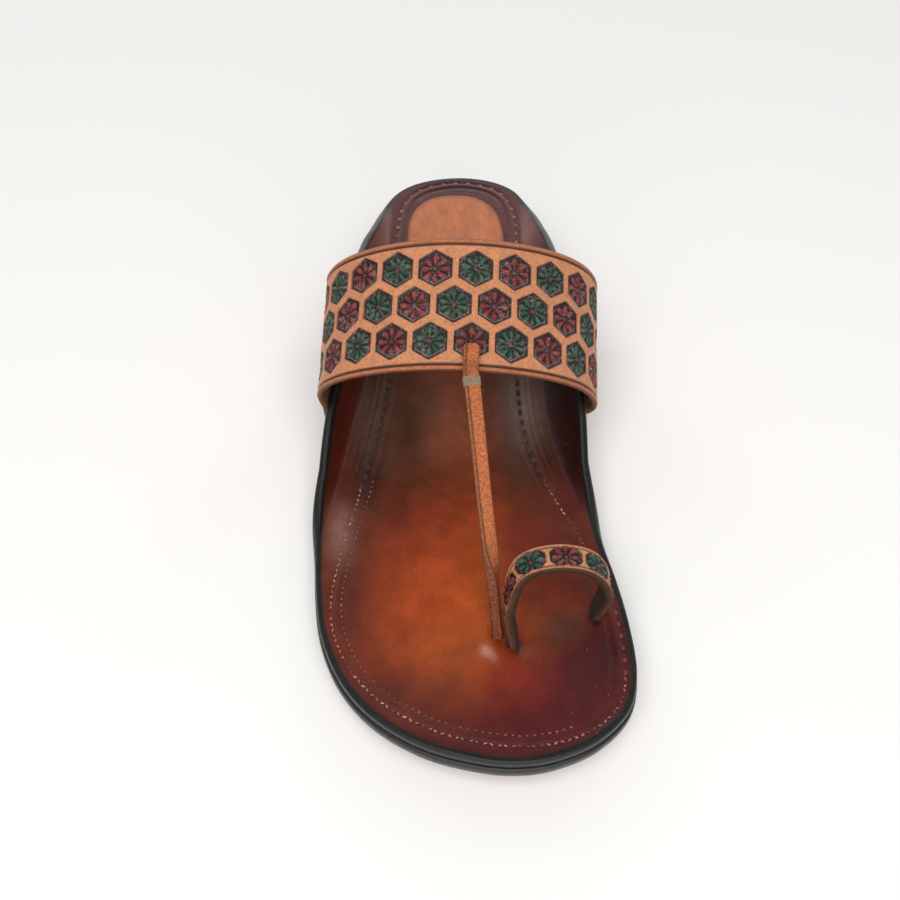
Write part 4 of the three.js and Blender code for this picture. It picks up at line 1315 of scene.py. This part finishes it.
# folded and hammered: crumpled, with many light crests
folded = leather("crumpled folded strap leather", cloud_mm=1.2, cloud=0.2, grain_mm=0.75, grain=0.5,
                 rough=(0.4, 0.52), bump=1.0, nicks=0.6, nick_mm=0.7, nick_share=0.26, nick_code="#d2905e",
                 specular=0.3)
for obj, material, slot, node in ((footbed, burnished, "footbed", "footbed"),
                                  (outsole, polished_edge, "outsole", "outsole"),
                                  (heel, polished_edge, "heel", "heel"),
                                  (patch, tan_patch, "heel_patch", "heel_patch"),
                                  (band, tooled, "upper", "upper"),
                                  (thong, folded, "upper", "upper"),
                                  (loop, tooled, "toe_loop", "toe_loop")):
    obj.data.materials.append(material)
    finish_piece(obj, slot, (node,))


# %% Threads
TWIST_MM = 0.4545
STAIN_MM = 3.846


def thread(name, code, rough=0.7, stain="#5a2420", stained=0.0):
    """Waxed thread: dull, a fine twist drawn as a quick change of tone, and dye that has rubbed off on it."""
    material, tree = new_material(name)
    place = add(tree, "ShaderNodeTexCoord").outputs["Object"]
    noise, patches = (add(tree, "ShaderNodeTexNoise", {"Vector": place, "Scale": 1000 / size_mm,
                                                       "Detail": 2.0}).outputs["Fac"]
                      for size_mm in (TWIST_MM, STAIN_MM))
    lift = add(tree, "ShaderNodeMapRange", {"Value": noise, "From Min": 0.35, "From Max": 0.65,
                                            "To Min": 0.62, "To Max": 1.3}).outputs[0]
    dye = add(tree, "ShaderNodeMapRange", {"Value": patches, "From Min": 0.4, "From Max": 0.6,
                                            "To Max": stained}).outputs[0]
    tone = add(tree, "ShaderNodeMix", {0: dye, 6: (*linear(code), 1), 7: (*linear(stain), 1)},
               data_type="RGBA").outputs[2]
    colour = add(tree, "ShaderNodeVectorMath", {0: tone, "Scale": lift}, operation="SCALE").outputs[0]
    rise_of = add(tree, "ShaderNodeBump", {"Strength": 0.4, "Distance": 0.0002, "Height": noise}).outputs[0]
    surface = add(tree, "ShaderNodeBsdfPrincipled", {"Base Color": colour, "Roughness": rough,
                                                     "Normal": rise_of, "Sheen Weight": 0.15})
    add(tree, "ShaderNodeOutputMaterial", {"Surface": surface.outputs[0]})
    return material


pale_thread = thread("waxed cotton thread pale", "#b5806c", stained=0.95)
dyed_thread = thread("waxed cotton thread dyed over", "#682a1f", 0.6, stained=0.7)
worn_thread = thread("waxed cotton thread at the heel", "#94695c", stained=0.5)
puckered = thread("puckered leather between awl holes", "#4e3832", 0.6, stained=0.5)
fine_thread = thread("fine waxed thread", "#94624f", stained=0.85)
# dark blobs that stand for the painted shade inside the awl holes
painted_shade_awl_hole = thread("awl hole", "#2a1814", 0.8, stain="#120a09", stained=1.0)
binding_thread = thread("linen binding thread", "#8d7560")
print(len(bpy.data.materials), "materials")

# %% [markdown]
# Now the rows. A path is a row of points on the footbed's face, one stitch depth in from the rim. Round the
# toe and at the inner side of the ball the thread shows pale in pairs. Between them it is dyed over and stands
# up as small beads. In the waist only the awl holes are left, with puckered leather between them, and round
# the heel the thread shows as soft dots.
# %% Stitch paths
def path_on_bed(sign, start, end, extra, lift, steps=160, skip=0.0):
    """Points on the face between two shares of the length, extra mm further in than the stitch row."""
    places = np.linspace(row_at(start), row_at(end), steps)
    sides = sign + 0 * places
    target = row_inward(sides, places) + extra
    target = np.convolve(np.pad(target, 6, mode="edge"), np.ones(13) / 13, "valid")
    reach = fold(sides, places) + lean(places)
    points = shell(sides, places, np.minimum(target - lean(places), fold(sides, places)), 0 * places)
    plan = rim(sides, places) - outward(sides, places) * target[:, None]
    flat = np.concatenate([plan, bed_height(plan[:, 1])[:, None]], 1)
    on_wing = (target < reach)[:, None]
    points = np.where(on_wing, points, flat)
    points[:, 2] += lift
    gone = np.concatenate([[0], np.cumsum(np.linalg.norm(np.diff(points, axis=0), axis=1))])
    return points[gone >= skip]


# %% Rows of stitches
def round_an_end(outer_start, tip, inner_end, extra=0):
    """A path down the outer side to the tip (0 is the heel's, 1 the toe's) and back up the inner side."""
    return np.concatenate([path_on_bed(-1, outer_start, tip, extra, -0.2),
                           path_on_bed(1, tip, inner_end, extra, -0.2)[1:]])


HOLES_FROM, HOLES_TO = 0.36, 0.61
# name, path, thread, then in mm: pitch, length, width, height and pair gap, and the seed
THREAD_ROWS = [
    ("stitches_toe", round_an_end(0.62, 1, 0.9), pale_thread, 4.3, 1.3, 0.6, 0.6, 1.9, 3),
    ("stitches_inner_side", path_on_bed(1, 0.895, 0.745, 0, -0.22), dyed_thread, 4.4, 1.6, 1.2, 0.9, 0, 5),
    ("stitches_inner_ball", path_on_bed(1, 0.735, 0.615, 0, -0.12), pale_thread, 4.3, 1.5, 0.7, 0.6, 1.9, 6),
    # the awl holes are dark ellipsoids: painted shade of the holes
    ("awl_holes_outer_waist", path_on_bed(-1, HOLES_FROM, HOLES_TO, 0, -0.14), painted_shade_awl_hole, 4.4, 2.5, 1.1, 0.6, 0, 9),
    ("awl_holes_inner_waist", path_on_bed(1, HOLES_FROM, HOLES_TO, 0, -0.14), painted_shade_awl_hole, 4.4, 2.5, 1.1, 0.6, 0, 10),
    ("puckers_outer_waist", path_on_bed(-1, HOLES_FROM, HOLES_TO, 0, -0.28, skip=2.2), puckered,
     4.4, 1.4, 2.0, 0.6, 0, 14),
    ("puckers_inner_waist", path_on_bed(1, HOLES_FROM, HOLES_TO, 0, -0.28, skip=2.2), puckered,
     4.4, 1.9, 2.1, 0.7, 0, 15),
    ("stitches_heel", round_an_end(0.3, 0, 0.3), worn_thread, 6.0, 1.8, 1.3, 0.8, 0, 11),
    ("stitches_fine", round_an_end(0.6, 1, 0.985, FINE_ROW_IN), fine_thread, 2.3, 0.9, 0.45, 0.4, 0, 12),
]
for name, path, material, *sizes, seed in THREAD_ROWS:
    settings = {key: size / 1000 for key, size in zip(("Pitch", "Length", "Width", "Height", "Pair gap"), sizes)}
    row = along_path(name, path, STITCHES, {**settings, "Unevenness": 0.18, "Seed": seed, "Thread": material})
    finish_piece(row, "footbed")


# %% Binding round the thong
BINDING_TURNS = 8
BINDING_FROM, BINDING_TO = 1.9, 4.9
BINDING_RADIUS = 0.21
TURN_POINTS = 28


def binding_path():
    """A winding round the thong between two distances in front of the band, in mm."""
    way = thong_course(0.2)
    edge = LENGTH * (0.5 - BAND_FRONT) - BAND_THICK / 2
    start, end = (np.argmax(way["spots"][:, 1] < edge - gap) for gap in (BINDING_FROM, BINDING_TO))
    i = np.arange(BINDING_TURNS * TURN_POINTS + 1)
    at = mix(start, end - 1, i / i[-1])
    low = at.astype(int)
    spots, flat, up = (mix(way[key][low], way[key][low + 1], (at - low)[:, None]) for key in ("spots", "flat", "up"))
    angle = 2 * math.pi * i / TURN_POINTS
    across = squarish(np.cos(angle), 4) * (THONG_WIDTH / 2 + 0.12)
    above = squarish(np.sin(angle), 4) * (THONG_THICK / 2 + 0.16)
    return spots + flat * across[:, None] + up * above[:, None]


binding = along_path("thong_binding", binding_path(), WINDING, {"Thread radius": BINDING_RADIUS / 1000,
                                                               "Thread": binding_thread})
finish_piece(binding, "thong_wrap", ("thong_wrap",))

# %% [markdown]
# The photograph was taken from above the toe, in a bright white tent. A large soft light hangs a little in
# front of overhead, so that the flat footbed doesn't mirror it. Two low panels, behind and in front, put the
# thin shine on the black edges, two small lights behind glint on the stamping, and an even sky fills the rest.
# %% Floor and light
floor_mesh = bpy.data.meshes.new("floor")
FLOOR_HALF = 3.0
floor_mesh.from_pydata([(x * FLOOR_HALF, y * FLOOR_HALF, 0) for x, y in ((-1, -1), (1, -1), (1, 1), (-1, 1))], [],
                       [(0, 1, 2, 3)])
floor = new_object("floor", floor_mesh)
paper, tree = new_material("white paper")
surface = add(tree, "ShaderNodeBsdfPrincipled", {"Base Color": (*linear("#f1efed"), 1), "Roughness": 0.9,
                                                 "Specular IOR Level": 0.1})
add(tree, "ShaderNodeOutputMaterial", {"Surface": surface.outputs[0]})
floor_mesh.materials.append(paper)

world = bpy.data.worlds.new("studio")
bpy.context.scene.world = world
world.use_nodes = True
sky = world.node_tree.nodes["Background"].inputs
sky["Color"].default_value = (1, 0.995, 0.985, 1)
sky["Strength"].default_value = 0.3
# name, place and aim in metres, width and height, watts
LIGHTS = [
    ("overhead softbox", (-0.1, -0.62, 1.28), (-0.05, 0, 0), (1.7, 1.2), 19),
    ("low back panel", (0, 1.5, 0.32), (0, 0, 0.05), (2.6, 0.4), 9),
    ("low front panel", (0, -1.5, 0.4), (0, 0, 0.05), (2.0, 0.5), 10),
    ("back left glint", (-0.95, 1.1, 1.02), (0, 0, 0), (0.5, 0.5), 1.6),
    ("back right glint", (0.95, 1.1, 1.02), (0, 0, 0), (0.5, 0.5), 1.6),
]
for name, place, aim, size, watts in LIGHTS:
    light = bpy.data.lights.new(name, "AREA")
    light.shape = "RECTANGLE"
    light.size, light.size_y = size
    light.energy = watts
    lamp = new_object(name, light)
    lamp.location = place
    lamp.rotation_euler = (Vector(aim) - Vector(place)).to_track_quat("-Z", "Y").to_euler()
print(len(LIGHTS), "lights")

# %% [markdown]
# The camera's place was fitted so that the sole's outline falls on the one in the photograph.
# %% Camera
bpy.context.scene.view_settings.view_transform = "Standard"
ELEVATION = math.radians(52)
AZIMUTH = math.radians(-1.928)
DISTANCE = 363.78
AIM = np.array([-7.477, -8.155, 0])
back_to_camera = np.array([math.sin(AZIMUTH) * math.cos(ELEVATION), -math.cos(AZIMUTH) * math.cos(ELEVATION),
                           math.sin(ELEVATION)])
camera_data = bpy.data.cameras.new("camera")
camera_data.lens = 36
camera_data.sensor_width = 36
camera_data.clip_start = 0.01
camera = new_object("camera", camera_data)
camera.location = to_metres(AIM + DISTANCE * back_to_camera)
camera.rotation_euler = (math.pi / 2 - ELEVATION, 0, AZIMUTH)
bpy.context.scene.camera = camera
print("camera at", [round(c, 4) for c in camera.location])
